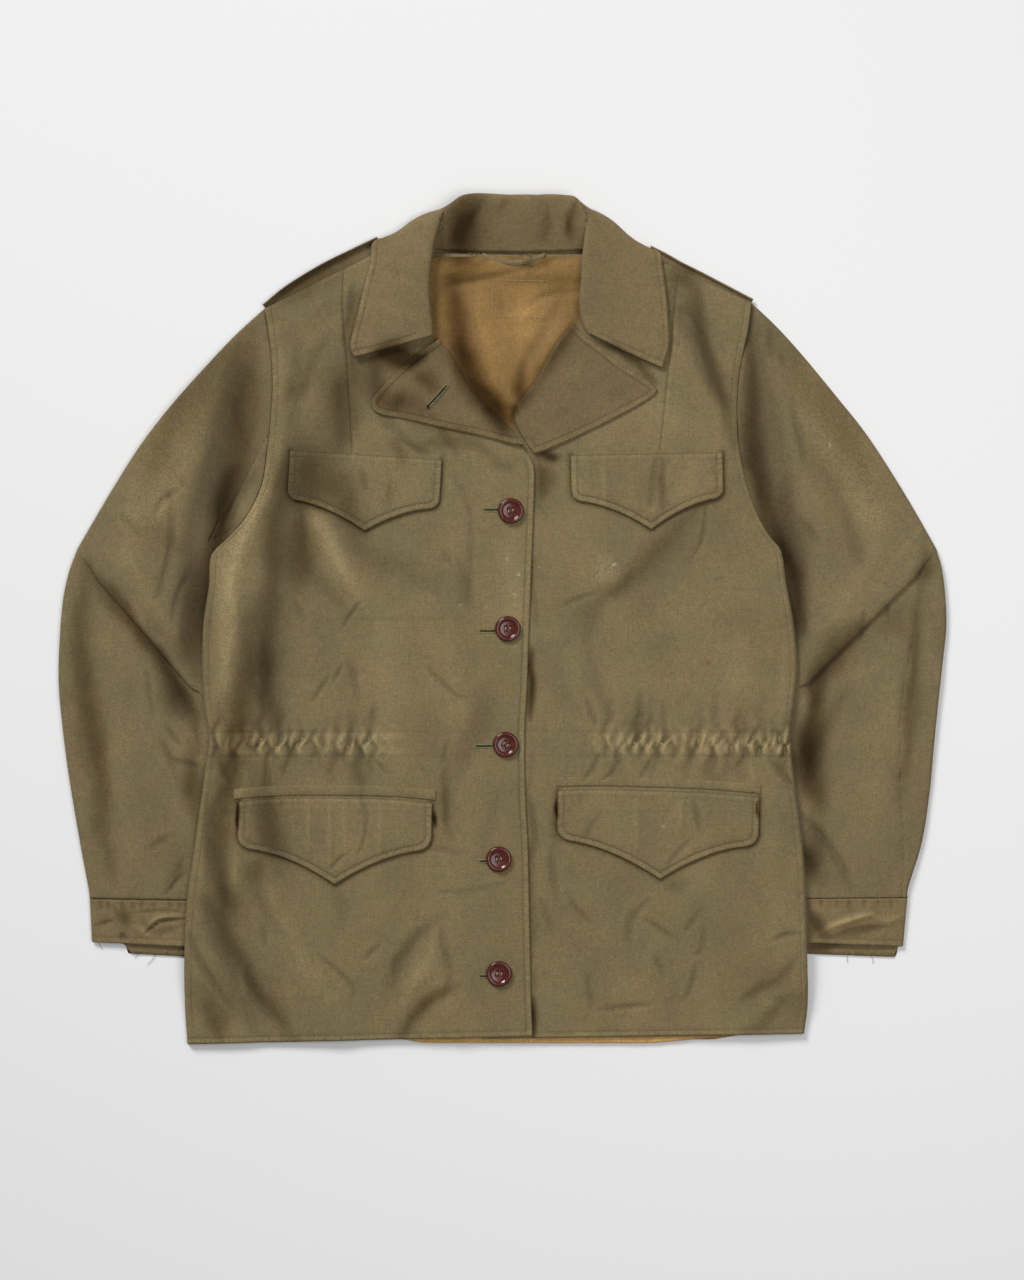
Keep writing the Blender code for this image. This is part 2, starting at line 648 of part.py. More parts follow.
def cuff(side, jacket):
    """A cuff: a short flattened tube whose under layer shows past the upper one."""
    c = {k: np.array(v, float) if isinstance(v, tuple) else v for k, v in CUFFS[side].items()}
    along = np.linspace(0, 1, 10)[:, None]
    rings = []
    for t in (0.0, 0.35, 0.7, 1.0):
        outer = c["outer"] + (c["outer_end"] - c["outer"]) * t
        inner = c["inner"] + (c["inner_end"] - c["inner"]) * t
        ring = np.array(tube_ring(outer + (inner - outer) * along, CUFF_HEIGHT, CUFF_EDGE))
        low, high = sorted((c["under_from"], c["under_to"]))
        inside = smooth((ring[:, 0] - low) / 6) * smooth((high - ring[:, 0]) / 6)
        under = (ring[:, 2] < 0.5) * inside
        ring[:, 1] -= c["under_reach"] * under * t
        rings.append(ring)
    points = [tuple(p) for ring in rings for p in ring]
    faces = grid_faces(len(rings), len(rings[0]), closed=True, flip=side == "right")
    return sheet(f"{side}_cuff", points, faces, WALL, -1.0, OLIVE_FADED, jacket)


# ---------------------------------------------------------------- collar, lapels and straps


def collar_profile(section):
    """One section of the collar: up the stand, round the roll line and out over the fall."""
    neck, roll, middle, edge = (np.array(section[k:k + 3], float) for k in (0, 3, 6, 9))
    turn = section[12]
    to_neck = (neck - roll) * (1, 1, 0)
    to_fall = (middle - roll) * (1, 1, 0)
    to_neck /= np.linalg.norm(to_neck)
    to_fall /= np.linalg.norm(to_fall)
    before = roll + to_neck * 3.4 - np.array([0, 0, 2.0 + 2.6 * turn])
    after = roll + to_fall * 3.4 - np.array([0, 0, 2.0 - 2.6 * turn])
    roll = roll - np.array([0, 0, 2.0])
    return np.array([neck, (neck + before) / 2 + (0, 0, 0.8), before, roll, after, (after + middle) / 2, middle,
                     (middle + edge) / 2, edge])


COLLAR_COLUMNS = [0, 1, 2, 2.5, 3, 3.5, 4, 5, 6, 7, 8]


def collar(jacket):
    """The collar: one band round the neck, its fall lying on the fronts and under the back of the neck."""
    profiles = np.array([collar_profile(section) for section in COLLAR_SECTIONS])
    rows = np.linspace(0, len(COLLAR_SECTIONS) - 1, 28)
    points = []
    for row in rows:
        profile = spline(profiles.reshape(len(profiles), -1), [row])[0].reshape(-1, 3)
        points += [tuple(p) for p in spline(profile, COLLAR_COLUMNS)]
    faces = grid_faces(len(rows), len(COLLAR_COLUMNS), flip=False)
    return sheet("collar", points, faces, COLLAR_WALL, 0.0, OLIVE_FADED, jacket)


def lapel_height(distance):
    """Height of a lapel over the front it lies on: high at the roll, settling towards its edge."""
    return LAY_GAP + DOUBLE_WALL / 2 + 3.0 * np.exp(-distance / 20)


def lapel(side, surfaces, jacket):
    """A lapel turned back at the roll line and lying on its front."""

    def top(x, y):
        return float(height_over(surfaces[side], [x], [y], TOPS[side](x, y))[0])

    sections = spline(LAPEL_SECTIONS[side], np.linspace(0, len(LAPEL_SECTIONS[side]) - 1, 15))
    points = []
    columns = 9
    for roll_x, roll_y, edge_x, edge_y in sections:
        roll, edge = np.array([roll_x, roll_y]), np.array([edge_x, edge_y])
        width = np.hypot(*(edge - roll))
        direction = (edge - roll) / width
        radius = min(LAPEL_ROLL, width / 4)
        for angle in np.radians([-30, 0, 40]):
            at = roll + direction * radius * (1 - math.cos(angle))
            z = top(*at) + lapel_height(radius) - radius + radius * math.sin(angle)
            points.append((*at, float(z)))
        for share in np.linspace(0, 1, columns - 3) ** 1.3:
            q = radius + (width - radius) * share
            at = roll + direction * q
            points.append((*at, float(top(*at) + lapel_height(q))))
    faces = grid_faces(len(sections), columns, flip=side == "left")
    return sheet(f"{side}_lapel", points, faces, DOUBLE_WALL, 0.0, OLIVE_FADED, jacket)


def shoulder_strap(side, jacket):
    """A shoulder strap under the back's shoulder line, its edge turned up past it."""
    line = spline(STRAP_EDGES[side], np.linspace(0, len(STRAP_EDGES[side]) - 1, 9))
    along = np.gradient(line, axis=0)
    along /= np.linalg.norm(along, axis=1)[:, None]
    outward = np.stack([-along[:, 1], along[:, 0]], 1)
    outward *= np.sign(outward[:, 1])[:, None]
    points = []
    for at, out in zip(line, outward):
        for distance, z in ((-STRAP_WIDTH, 0.8), (-18, 0.8), (-7, 0.8), (-3.2, 1.0), (-1.4, 1.9), (-0.8, 3.4), (-0.8, 5.0)):
            points.append((*(at + out * distance), z))
    faces = grid_faces(len(line), 7, flip=side == "left")
    return sheet(f"{side}_shoulder_strap", points, faces, DOUBLE_WALL, 0.0, OLIVE_FADED, jacket)


# ---------------------------------------------------------------- pockets, loop and buttons


def flap_depth(share, flap, width):
    """Depth of a flap's lower edge below its sewn edge: square sides, round corners and a point."""
    from_point = np.where(share < flap["where"], (flap["where"] - share) / flap["where"],
                          (share - flap["where"]) / (1 - flap["where"]))
    depth = flap["side"] + (flap["point"] - flap["side"]) * (1 - from_point) ** FLAP_POINT_POWER
    in_from_side = np.minimum(share, 1 - share) * width
    c = flap["corner"]
    short = np.clip(c - in_from_side, 0, c)
    return depth - (c - np.sqrt(np.maximum(c * c - short * short, 0)))


def patch_on_front(name, side, start, end, depths, shares, rows, wall, spec, surfaces, jacket):
    """A patch that hangs from a sewn line on a front, made from the front's own height."""
    start, end = np.array(start, float), np.array(end, float)
    along = (end - start) / np.hypot(*(end - start))
    down = np.array([along[1], -along[0]])
    points = []
    for t in rows:
        at = start + (end - start) * shares[:, None] + down * (depths * t)[:, None]
        z = height_over(surfaces[side], at[:, 0], at[:, 1], TOPS[side](at[:, 0], at[:, 1])) + PATCH_GAP
        points += list(zip(at[:, 0], at[:, 1], z))
    faces = grid_faces(len(rows), len(shares), flip=True)
    return sheet(name, points, faces, wall, 1.0, spec, jacket)


def pocket_flap(name, flap, surfaces, jacket):
    side = name.split("_")[0]
    width = math.dist(flap["start"], flap["end"])
    c = flap["corner"] / width
    near = np.array([0, 0.12, 0.45, 1.0]) * c
    shares = np.unique(np.concatenate([near, 1 - near, [flap["where"]], np.linspace(c, 1 - c, 11)]))
    depths = flap_depth(shares, flap, width)
    return patch_on_front(name, side, flap["start"], flap["end"], depths, shares, np.linspace(0, 1, 7),
                          DOUBLE_WALL, OLIVE_FADED, surfaces, jacket)


def pocket_welt(name, welt, surfaces, jacket):
    side = name.split("_")[0]
    shares = np.linspace(0, 1, 18)
    start = np.array(welt["start"], float) + (0, welt["rise"])
    end = np.array(welt["end"], float) + (0, welt["rise"])
    depths = np.full(len(shares), welt["rise"] + 2.5)
    return patch_on_front(name, side, start, end, depths, shares, np.array([0, 1.0]), WALL, OLIVE, surfaces, jacket)


def hanger_loop(jacket):
    """The loop at the back of the neck: a narrow tape that sags from the neck seam over the lining."""
    points = []
    for t in np.linspace(0, 1, 11):
        x = -18 + 56 * t
        y = 328.0 - 6.5 * math.sin(math.pi * t)
        z = float(support(x, y)) + LINING_TOP + 0.9 + 1.6 * math.sin(math.pi * t)
        points += [(x, y + 2.0, z), (x, y - 2.0, z)]
    faces = grid_faces(11, 2, flip=True)
    return sheet("hanger_loop", points, faces, WALL, 0.0, OLIVE, jacket)


def button(number, centre, cutters, jacket):
    """A four-hole button with a rounded rim round a dished middle."""
    profile = [(0.0, 2.2), (6.8, 2.2), (8.3, 3.2), (9.9, BUTTON_HEIGHT), (BUTTON_RADIUS, 2.2), (9.9, 0.5), (6.0, 0.0),
               (0.0, 0.0)]
    name = f"button_{number}"
    curve = bpy.data.meshes.new(name)
    curve.from_pydata([(x * MM, 0.0, z * MM) for x, z in profile], [(k, k + 1) for k in range(len(profile) - 1)], [])
    obj = bpy.data.objects.new(name, curve)
    turned = obj.modifiers.new("turned", "SCREW")
    turned.steps = turned.render_steps = 16
    turned.use_merge_vertices = True
    turned.merge_threshold = 0.00005
    link(obj, BROWN_PLASTIC, jacket)
    x, y = centre
    obj.location = (x * MM, y * MM, (float(right_top(x, y)) + BUTTON_LIFT) * MM)
    for k in range(4):
        angle = math.pi / 4 + k * math.pi / 2
        bpy.ops.mesh.primitive_cylinder_add(
            vertices=5,
            radius=BUTTON_HOLE_RADIUS * MM,
            depth=20 * MM,
            location=(
                (x + math.sqrt(2) * BUTTON_HOLE_OFFSET * math.cos(angle)) * MM,
                (y + math.sqrt(2) * BUTTON_HOLE_OFFSET * math.sin(angle)) * MM,
                obj.location.z,
            ),
        )
        hole = bpy.context.object
        hole.name = f"{name}_hole_{k}"
        hole.hide_render = True
        hole.display_type = "WIRE"
        for old in hole.users_collection:
            old.objects.unlink(hole)
        cutters.objects.link(hole)
        cut = obj.modifiers.new(f"hole_{k}", "BOOLEAN")
        cut.object = hole
        cut.operation = "DIFFERENCE"
    return obj


def main():
    for obj in list(bpy.data.objects):
        bpy.data.objects.remove(obj)
    jacket = bpy.data.collections.new("field_jacket")
    cutters = bpy.data.collections.new("cutters")
    bpy.context.scene.collection.children.link(jacket)
    bpy.context.scene.collection.children.link(cutters)
    surfaces = {}
    back_panel(surfaces, jacket)
    back_lining(surfaces, jacket)
    for side in ("right", "left"):
        front_panel(side, surfaces, jacket)
        sleeve(side, jacket)
        cuff(side, jacket)
        lapel(side, surfaces, jacket)
        shoulder_strap(side, jacket)
    collar(jacket)
    for name, flap in FLAPS.items():
        pocket_flap(name, flap, surfaces, jacket)
    for name, welt in WELTS.items():
        pocket_welt(name, welt, surfaces, jacket)
    hanger_loop(jacket)
    for number, centre in enumerate(BUTTON_CENTRES, 1):
        button(number, centre, cutters, jacket)


main()
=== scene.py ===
"""The looks of a field jacket that lies flat on its back, buttoned, seen from straight above.

X runs to the wearer's left, Y towards the collar and Z up. The tables are in millimetres. Each cloth piece
is a surface worked out from a table of sections: a dense outer face, a coarser inner face one wall below it
and a rim between them. Folds, gathers, seams and edges are heights added to the piece's own form.
"""

import math

import bpy
import numpy as np
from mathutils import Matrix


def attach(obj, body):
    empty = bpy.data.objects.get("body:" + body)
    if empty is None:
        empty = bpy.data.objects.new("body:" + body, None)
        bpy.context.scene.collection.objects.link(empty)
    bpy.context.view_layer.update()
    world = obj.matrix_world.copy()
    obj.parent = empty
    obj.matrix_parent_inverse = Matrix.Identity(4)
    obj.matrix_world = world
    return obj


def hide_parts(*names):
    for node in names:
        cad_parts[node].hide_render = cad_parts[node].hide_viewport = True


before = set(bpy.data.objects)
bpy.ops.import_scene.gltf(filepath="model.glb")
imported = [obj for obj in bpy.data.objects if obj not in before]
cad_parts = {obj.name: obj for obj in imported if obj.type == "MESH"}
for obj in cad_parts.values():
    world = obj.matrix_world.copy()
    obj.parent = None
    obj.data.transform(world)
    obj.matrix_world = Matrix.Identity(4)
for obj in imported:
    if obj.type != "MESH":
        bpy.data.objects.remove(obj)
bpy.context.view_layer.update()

MM = 0.001
TINY = 1e-9
OUTWARD = {"right": -1.0, "left": 1.0}

# Walls, and the gaps between pieces
WALL = 1.3
LINING_WALL = 1.0
DOUBLE_WALL = 1.6
COLLAR_WALL = 2.0
LAY_GAP = 0.6
PATCH_GAP = 0.8

# Heights of the stacked layers over what the body lies on
LINING_TOP = WALL + LAY_GAP + LINING_WALL
FRONT_TOP = 6.0
FRONT_SEAM_HEIGHT = WALL + 0.5

# The right front lies over the left one along the buttons
LAP_RISE = 1.9
LAP_START_X = -52.0
LAP_RUN = 30.0
LAP_SOFT_RUN = 10.0

# The body is lifted where it lies on the sleeves, on the collar's fall and on the shoulder straps
SLEEVE_LIFT = 8.2
SLEEVE_LIFT_INSIDE = 40.0
SLEEVE_LIFT_RUN = 54.0
SLEEVE_LIFT_TOP = 58.0
SLEEVE_LIFT_TOP_RUN = 56.0
SLEEVE_LIFT_END = -366.0
SLEEVE_LIFT_END_RUN = 60.0
COLLAR_LIFT = 3.4
COLLAR_LIFT_Y = 300.0
COLLAR_LIFT_RUN = 14.0
COLLAR_CENTRE_X = 10.0
COLLAR_HALF_WIDTH = 130.0
COLLAR_SIDE_RUN = 20.0
STRAP_LIFT = 2.4
STRAP_WIDTH = 30.0
STRAP_REACH = 58.5
STRAP_LIFT_RUN = 24.0
STRAP_END_RUN = 14.0
STRAP_ENDS_X = (-86.0, 112.0)

# The waist, gathered by a cord that runs inside
WAIST_Y = -112.0
GATHER_ZONE = 60.0
GATHER_CORE = 10.0
GATHER_SHADE = 0.055
GATHER_SHADE_ENDS = (-0.26, 0.14)
GATHER_SEED = 7
GATHER_SHARE = {"right": 1.0, "left": 0.85}
GATHER_X = {"right": (-262.0, -88.0), "left": (80.0, 257.0)}

# Sections of each front from the shoulder to the hem: the armhole or side end, then the centre end
UNDERARM_ROW = 9
SIDE_X, SIDE_Y = 0, 1
FRONT_SECTIONS = {
    "right": [
        (-214, 281, -110, 333),
        (-211, 262, -87, 320),
        (-208, 236, -84, 298),
        (-207, 208, -80, 270),
        (-209, 178, -56, 246),
        (-212, 150, -37, 216),
        (-217, 120, -15, 188),
        (-231, 92, 4, 171),
        (-247, 74, 18, 155),
        (-263, 57, 28, 138),
        (-264.5, 30, 28, 103),
        (-269, -5, 26, 50),
        (-270, -42, 24, -5),
        (-268, -78, 22, -62),
        (-264, -100, 20, -96),
        (-264, -112, 20, -110),
        (-266, -125, 20, -125),
        (-271, -162, 21, -165),
        (-277, -205, 23, -205),
        (-284, -255, 24, -255),
        (-286, -305, 25, -305),
        (-286, -350, 26, -348),
        (-284, -382, 27, -374.5),
    ],
    "left": [
        (224, 286, 148, 321),
        (221, 262, 101, 317),
        (216, 238, 97, 298),
        (212, 212, 93, 276),
        (211, 182, 66, 266),
        (213, 155, 50, 244),
        (219, 125, 33, 213),
        (229, 96, 17, 183),
        (240, 76, 2, 160),
        (252, 60, -14, 135),
        (256, 31, -17, 100),
        (262, -5, -18, 50),
        (265, -42, -18, -5),
        (262, -78, -18, -62),
        (259, -100, -18, -96),
        (259, -112, -18, -110),
        (260, -125, -18, -125),
        (265, -162, -18, -165),
        (270, -205, -18, -205),
        (273, -255, -18, -255),
        (274, -305, -18, -305),
        (275, -345, -18, -348),
        (272, -372.5, -18, -377),
    ],
}

# The largest folds of the fronts: a ridge or, with a height below 0, a trough from one end to the other
FOLDS = [
    # x0, y0, x1, y1, half width, height
    (-152, 261, -191, 220, 15, 2.0),
    (-168, 238, -188, 196, 13, -1.2),
    (-196, 111, -180, 50, 15, -1.2),
    (-178, 97, -137, 14, 17, 2.2),
    (-218, 45, -236, -72, 15, -0.9),
    (-115, 68, -56, 50, 16, 1.5),
    (-70, -40, -44, -70, 14, -0.9),
    (-250, -165, -256, -279, 14, -0.9),
    (-206, -255, -153, -372, 19, 2.3),
    (-236, -296, -212, -372, 15, -1.1),
    (-52, -280, -56, -372, 16, 1.4),
    (178, 288, 199, 229, 15, 1.6),
    (161, 262, 176, 190, 16, -1.1),
    (180, 104, 88, 18, 19, 2.4),
    (196, 72, 134, 4, 15, -1.1),
    (74, -12, 88, -92, 15, -1.1),
    (50, -18, 58, -90, 15, 1.4),
    (115, -240, 115, -318, 15, -0.9),
    (262, -313, 208, -352, 15, -1.1),
    (266, -338, 226, -372, 15, 1.8),
]
DEEPEST_TROUGH = -1.3

# Sections of each sleeve from the armhole to the cuff: outer edge, inner edge under the body, and height
OUTER_X, HEIGHT = 0, 4
SLEEVE_BOW = [1.0, 0.7, 0.4, 0.15]
UNDERARM_BULGE = [0.0, 12.0, 12.0, 9.0, 6.0, 3.0]
SLEEVE_EDGE = 5.2
SLEEVE_SECTIONS = {
    "right": [
        (-214.6, 281.3, -264.4, 55.2, 6.2),
        (-242, 256, -269.5, 26, 6.4),
        (-272, 224, -268.5, -2, 6.6),
        (-300, 192, -260, -22, 6.8),
        (-326, 158, -254, -38, 7.0),
        (-349, 122, -249, -60, 7.4),
        (-368, 90, -245, -80, 8.2),
        (-383, 64, -243, -98, 8.8),
        (-384.2, 61, -242.8, -101, 6.4),
        (-391, 42, -242, -104, 6.6),
        (-396, 18, -241, -114, 6.6),
        (-399, -16, -240, -128, 6.6),
        (-400, -55, -240, -147, 6.6),
        (-397, -92, -241, -168, 6.6),
        (-392, -132, -242, -190, 6.5),
        (-386, -170, -244, -212, 6.4),
        (-379, -210, -247, -233, 6.2),
        (-373, -242, -250, -247, 6.0),
        (-372, -251, -251, -253, 5.6),
    ],
    "left": [
        (224.8, 286.3, 253.4, 58.2, 6.2),
        (248, 264, 262, 28, 6.4),
        (272, 237, 262.5, -2, 6.6),
        (303, 199, 256, -20, 6.8),
        (326, 170, 250, -34, 7.0),
        (348, 137, 245, -52, 7.4),
        (370, 101, 242, -68, 8.2),
        (391, 64, 239, -86, 8.8),
        (391.8, 61, 238.8, -89, 6.4),
        (396, 46, 238, -94, 6.6),
        (399, 22, 237, -105, 6.6),
        (400, -6, 237, -120, 6.6),
        (397, -36, 237, -136, 6.6),
        (393, -72, 237, -158, 6.6),
        (389, -112, 238, -182, 6.6),
        (385, -155, 239, -206, 6.5),
        (378, -200, 241, -230, 6.3),
        (366, -240, 244, -245, 6.0),
        (365, -250, 245, -251, 5.6),
    ],
}

# Each cuff: its four corners, and how far its under layer reaches past the upper one
CUFFS = {
    "right": dict(outer=(-372, -251.3), inner=(-251, -253.3), outer_end=(-370, -290), inner_end=(-250, -296),
                  under_from=-340, under_to=-250, under_reach=9.0),
    "left": dict(outer=(365, -250.3), inner=(245, -251.3), outer_end=(361, -294), inner_end=(246, -290),
                 under_from=357, under_to=246, under_reach=10.0),
}
CUFF_HEIGHT = 5.4
CUFF_EDGE = 4.6
CUFF_ROWS = 34
CUFF_COLUMNS = 174
CUFF_SEEDS = {"right": 81, "left": 86}

# The collar from its right front end to its left one: neck seam, roll line, middle and edge of the fall
COLLAR_SECTIONS = [
    # neck x, y, z; roll x, y, z; middle x, y, z; edge x, y, z; which side of the roll is on top
    (-76, 259, 9.6, -63, 256, 12.6, -98, 245, 10.6, -133, 236, 10.4, 1.0),
    (-78, 268, 8.8, -63, 265, 13.0, -100, 256, 11.5, -137, 247, 10.4, 1.0),
    (-81, 283, 8.8, -65, 279, 15.0, -98, 276, 12.0, -130, 277, 9.8, 1.0),
    (-82, 303, 8.0, -66, 301, 17.0, -96, 301, 13.0, -124, 302, 9.8, 1.0),
    (-78, 322, 7.6, -64, 322, 18.0, -93, 323, 13.0, -119, 322, 9.8, 1.0),
    (-68, 333, 7.4, -60, 343, 19.0, -88, 346, 12.0, -116, 340, 8.0, 0.8),
    (-60, 334, 6.8, -54, 362, 19.5, -80, 359, 9.0, -100, 337, 1.35, 0.1),
    (-50, 333, 6.0, -44, 374, 19.5, -58, 366, 6.5, -76, 326, 1.35, -0.7),
    (-30, 332, 5.4, -28, 381, 19.0, -31, 366, 4.4, -42, 318, 1.35, -1.0),
    (10, 331, 5.4, 11, 380, 18.0, 11, 365, 4.2, 11, 315, 1.35, -1.0),
    (52, 332, 5.4, 52, 380, 19.0, 53, 366, 4.4, 62, 318, 1.35, -1.0),
    (68, 333, 6.0, 67, 376, 19.5, 80, 366, 6.5, 96, 324, 1.35, -0.7),
    (78, 333, 6.8, 75, 360, 19.5, 100, 357, 9.0, 122, 331, 1.35, 0.1),
    (84, 331, 7.4, 74, 341, 19.0, 108, 341, 12.0, 141, 330, 9.4, 0.8),
    (89, 320, 7.6, 72, 322, 18.0, 108, 321, 13.0, 144, 317, 10.4, 1.0),
    (92, 302, 8.0, 71, 301, 17.0, 108, 299, 13.0, 147, 298, 9.8, 1.0),
    (90, 283, 8.8, 69, 284, 15.0, 108, 279, 12.0, 149, 276, 9.8, 1.0),
    (88, 268, 8.8, 72, 268, 13.0, 108, 258, 11.5, 150, 247, 9.6, 1.0),
    (88, 261, 9.8, 77, 258, 12.8, 106, 243, 10.6, 144, 226, 9.6, 1.0),
]

# Each lapel from its gorge to its lower end: the roll line, then the outer edge
LAPEL_SECTIONS = {
    "right": [
        (-57, 253, -65, 247),
        (-54, 248, -80, 237),
        (-49, 243, -98, 221),
        (-41, 229, -112, 206),
        (-32, 214, -118, 196),
        (-23, 202, -112, 186),
        (-10, 189, -84, 180),
        (2, 178, -50, 172),
        (12, 167, -17, 165),
        (20, 157, 9, 158),
    ],
    "left": [
        (63, 267, 75, 255),
        (59, 262, 91, 243),
        (54, 256, 109, 229),
        (48, 248, 126, 219),
        (41, 236, 137, 210),
        (35, 225, 139, 205),
        (29, 214, 131, 198),
        (20, 203, 113, 188),
        (12, 190, 82, 172),
        (11, 180, 58, 161),
        (16, 168, 38, 152.5),
        (22.5, 158, 28.5, 149.5),
    ],
}
LAPEL_ROLL = 2.2

# Pocket flaps: the two ends of the sewn edge, how deep the sides and the point hang, the point's place as a
# share of the width, the radius of the corners and how far the sewn edge bows upwards
FLAPS = {
    f"{name}_flap": dict(start=start, end=end, side=side, point=point, where=where, corner=corner, bow=bow)
    for name, start, end, side, point, where, corner, bow in (
        ("right_chest", (-191, 152.5), (-54.5, 144), 44, 68, 0.52, 9, 0),
        ("left_chest", (61.5, 148), (198, 150.5), 41, 68, 0.52, 9, 0),
        ("right_hip", (-237, -163), (-63.5, -165), 42, 74, 0.5, 12, 4),
        ("left_hip", (50, -153.5), (230.5, -159), 44, 77, 0.52, 12, 2.5),
    )
}
FLAP_POINT_POWER = 1.8

# The bands over the hip flaps: ends of their lower line, height and bow
WELTS = {
    "right_hip_welt": dict(start=(-241, -158.5), end=(-60, -160), rise=6.5, bow=4.0),
    "left_hip_welt": dict(start=(48.5, -147.5), end=(232, -153.5), rise=5.5, bow=2.5),
}

# Buttons: their centres, and how far they stand off the front
BUTTON_CENTRES = [(7.6, 98), (4.9, -8), (2.9, -112), (-3.2, -215), (-3.0, -318)]
BUTTON_LIFT = 1.3

# Shoulder straps: their outer edge past the shoulder line
STRAP_EDGES = {
    "right": [(-216, 284), (-195, 301), (-164, 320), (-138, 333), (-113, 345)],
    "left": [(226, 289), (205, 300), (182, 312), (162, 322), (148, 330), (134, 337)],
}

# The back's upper and lower edges, and the lining of the back
BACK_TOP_LINE = [
    (-214, 281), (-170, 303), (-112, 328), (-64, 330.5), (10, 329), (86, 329.5), (146, 318), (224, 286),
]
BACK_HEM = [
    (-286, -378.5), (-278, -381.0), (-218, -381.0), (-200, -378.0), (190, -378.0), (214, -374.0),
    (274, -371.2),
]
LINING_SECTIONS = [
    # y of the section, x of its two ends
    (327, -60, 82),
    (321, -72, 94),
    (314, -86, 104),
    (307, -96, 112),
    (300, -104, 120),
    (292, -112, 128),
    (200, -122, 122),
    (60, -170, 160),
    (-120, -170, 160),
    (-330, -106, 196),
    (-381, -104, 197),
]


# ---------------------------------------------------------------- curves and heights


def smooth(t):
    """0 below 0, 1 above 1, and an S-shaped rise between."""
    t = np.clip(t, 0.0, 1.0)
    return t * t * (3.0 - 2.0 * t)


def spline(table, at):
    """A smooth curve through the rows of a table, read at row numbers that need not be whole."""
    rows = np.asarray(table, float)
    at = np.clip(np.asarray(at, float), 0, len(rows) - 1)
    low = np.minimum(at.astype(int), len(rows) - 2)
    slope = np.gradient(rows, axis=0)
    t = (at - low)[..., None]
    ends = rows[low] * (1 + 2 * t) * (1 - t) ** 2 + rows[low + 1] * t * t * (3 - 2 * t)
    return ends + slope[low] * t * (1 - t) ** 2 + slope[low + 1] * t * t * (t - 1)


def bell(distance, width):
    """1 where there is no distance, falling away to both sides over about the width."""
    return np.exp(-((distance / width) ** 2))


def unit(rows):
    """Each row of numbers brought to a length of 1."""
    return rows / np.maximum(np.linalg.norm(rows, axis=-1, keepdims=True), TINY)


def lengths_along(line):
    """How far along a line of points each of them is."""
    return np.concatenate([[0.0], np.cumsum(np.linalg.norm(np.diff(line, axis=0), axis=1))])


def on_edges(x, y):
    """How far each place of a grid is from its column's first place and from its last one."""
    return np.hypot(x - x[:1], y - y[:1]), np.hypot(x - x[-1:], y - y[-1:])


def surface(x, y, z):
    """A grid of points from grids of their coordinates."""
    return np.stack([x, y, z], axis=-1)


def side_x(side, y):
    """X of the body's side edge at height y, from the underarm to the hem."""
    rows = np.array(FRONT_SECTIONS[side][UNDERARM_ROW:], float)
    return np.interp(-y, -rows[:, SIDE_Y], rows[:, SIDE_X])


def shoulder_y(side, x):
    """Y of the shoulder line over x."""
    rows = np.array(sorted(STRAP_EDGES[side]), float)
    return np.interp(x, rows[:, 0], rows[:, 1])


def support(x, y):
    """Height of what the body lies on: the sleeves, the collar's fall and the shoulder straps."""
    below = smooth((SLEEVE_LIFT_TOP - y) / SLEEVE_LIFT_TOP_RUN)
    below = below * smooth((y - SLEEVE_LIFT_END) / SLEEVE_LIFT_END_RUN)
    inside = np.minimum(x - side_x("right", y), side_x("left", y) - x)
    sleeves = SLEEVE_LIFT * (1 - smooth((inside - SLEEVE_LIFT_INSIDE) / SLEEVE_LIFT_RUN)) * below
    across = smooth((COLLAR_HALF_WIDTH - np.abs(x - COLLAR_CENTRE_X)) / COLLAR_SIDE_RUN)
    fall = COLLAR_LIFT * smooth((y - COLLAR_LIFT_Y) / COLLAR_LIFT_RUN) * across
    past_line = np.maximum(y - shoulder_y("right", x), y - shoulder_y("left", x))
    outside = np.maximum(STRAP_ENDS_X[0] - x, x - STRAP_ENDS_X[1])
    strap = STRAP_LIFT * smooth((past_line + STRAP_REACH) / STRAP_LIFT_RUN) * smooth(outside / STRAP_END_RUN)
    return sleeves + np.maximum(fall, strap)


def folds(x, y):
    """Sum of the fronts' ridges and troughs, each a soft bank along its own line."""
    total = np.zeros(np.broadcast(x, y).shape)
    for x0, y0, x1, y1, width, height in FOLDS:
        dx, dy = x1 - x0, y1 - y0
        along = np.clip(((x - x0) * dx + (y - y0) * dy) / (dx * dx + dy * dy), 0, 1)
        away = np.hypot(x - x0 - along * dx, y - y0 - along * dy)
        total = total + height * bell(away, width)
    return np.maximum(total, DEEPEST_TROUGH)


def left_top(x, y):
    """Height of the left front's outer face."""
    return support(x, y) + FRONT_TOP + folds(x, y)


def right_top(x, y):
    """Height of the right front's outer face, which laps over the left front."""
    return left_top(x, y) + LAP_RISE * smooth((x - LAP_START_X) / LAP_RUN)


TOPS = {"right": right_top, "left": left_top}


# ---------------------------------------------------------------- numbers that look chance


def lattice(i, j, seed):
    """A value from 0 to 1 for each whole-numbered place, even and without a pattern."""
    mixed = (i * 374761393 + j * 668265263 + seed * 362437) & 0xFFFFFFFF
    mixed = ((mixed ^ (mixed >> 13)) * 1274126177) & 0xFFFFFFFF
    return ((mixed ^ (mixed >> 16)) & 0xFFFF) / 65535.0


def noise(x, y, wide, tall, seed):
    """Smooth swellings from -1 to 1, each about so wide and so tall, between the values of a lattice."""
    u, v = np.asarray(x, float) / wide, np.asarray(y, float) / tall
    i, j = np.floor(u).astype(np.int64), np.floor(v).astype(np.int64)
    s, t = smooth(u - i), smooth(v - j)
    low = lattice(i, j, seed) * (1 - s) + lattice(i + 1, j, seed) * s
    high = lattice(i, j + 1, seed) * (1 - s) + lattice(i + 1, j + 1, seed) * s
    return 2 * (low * (1 - t) + high * t) - 1


# ---------------------------------------------------------------- heights added to the cloth


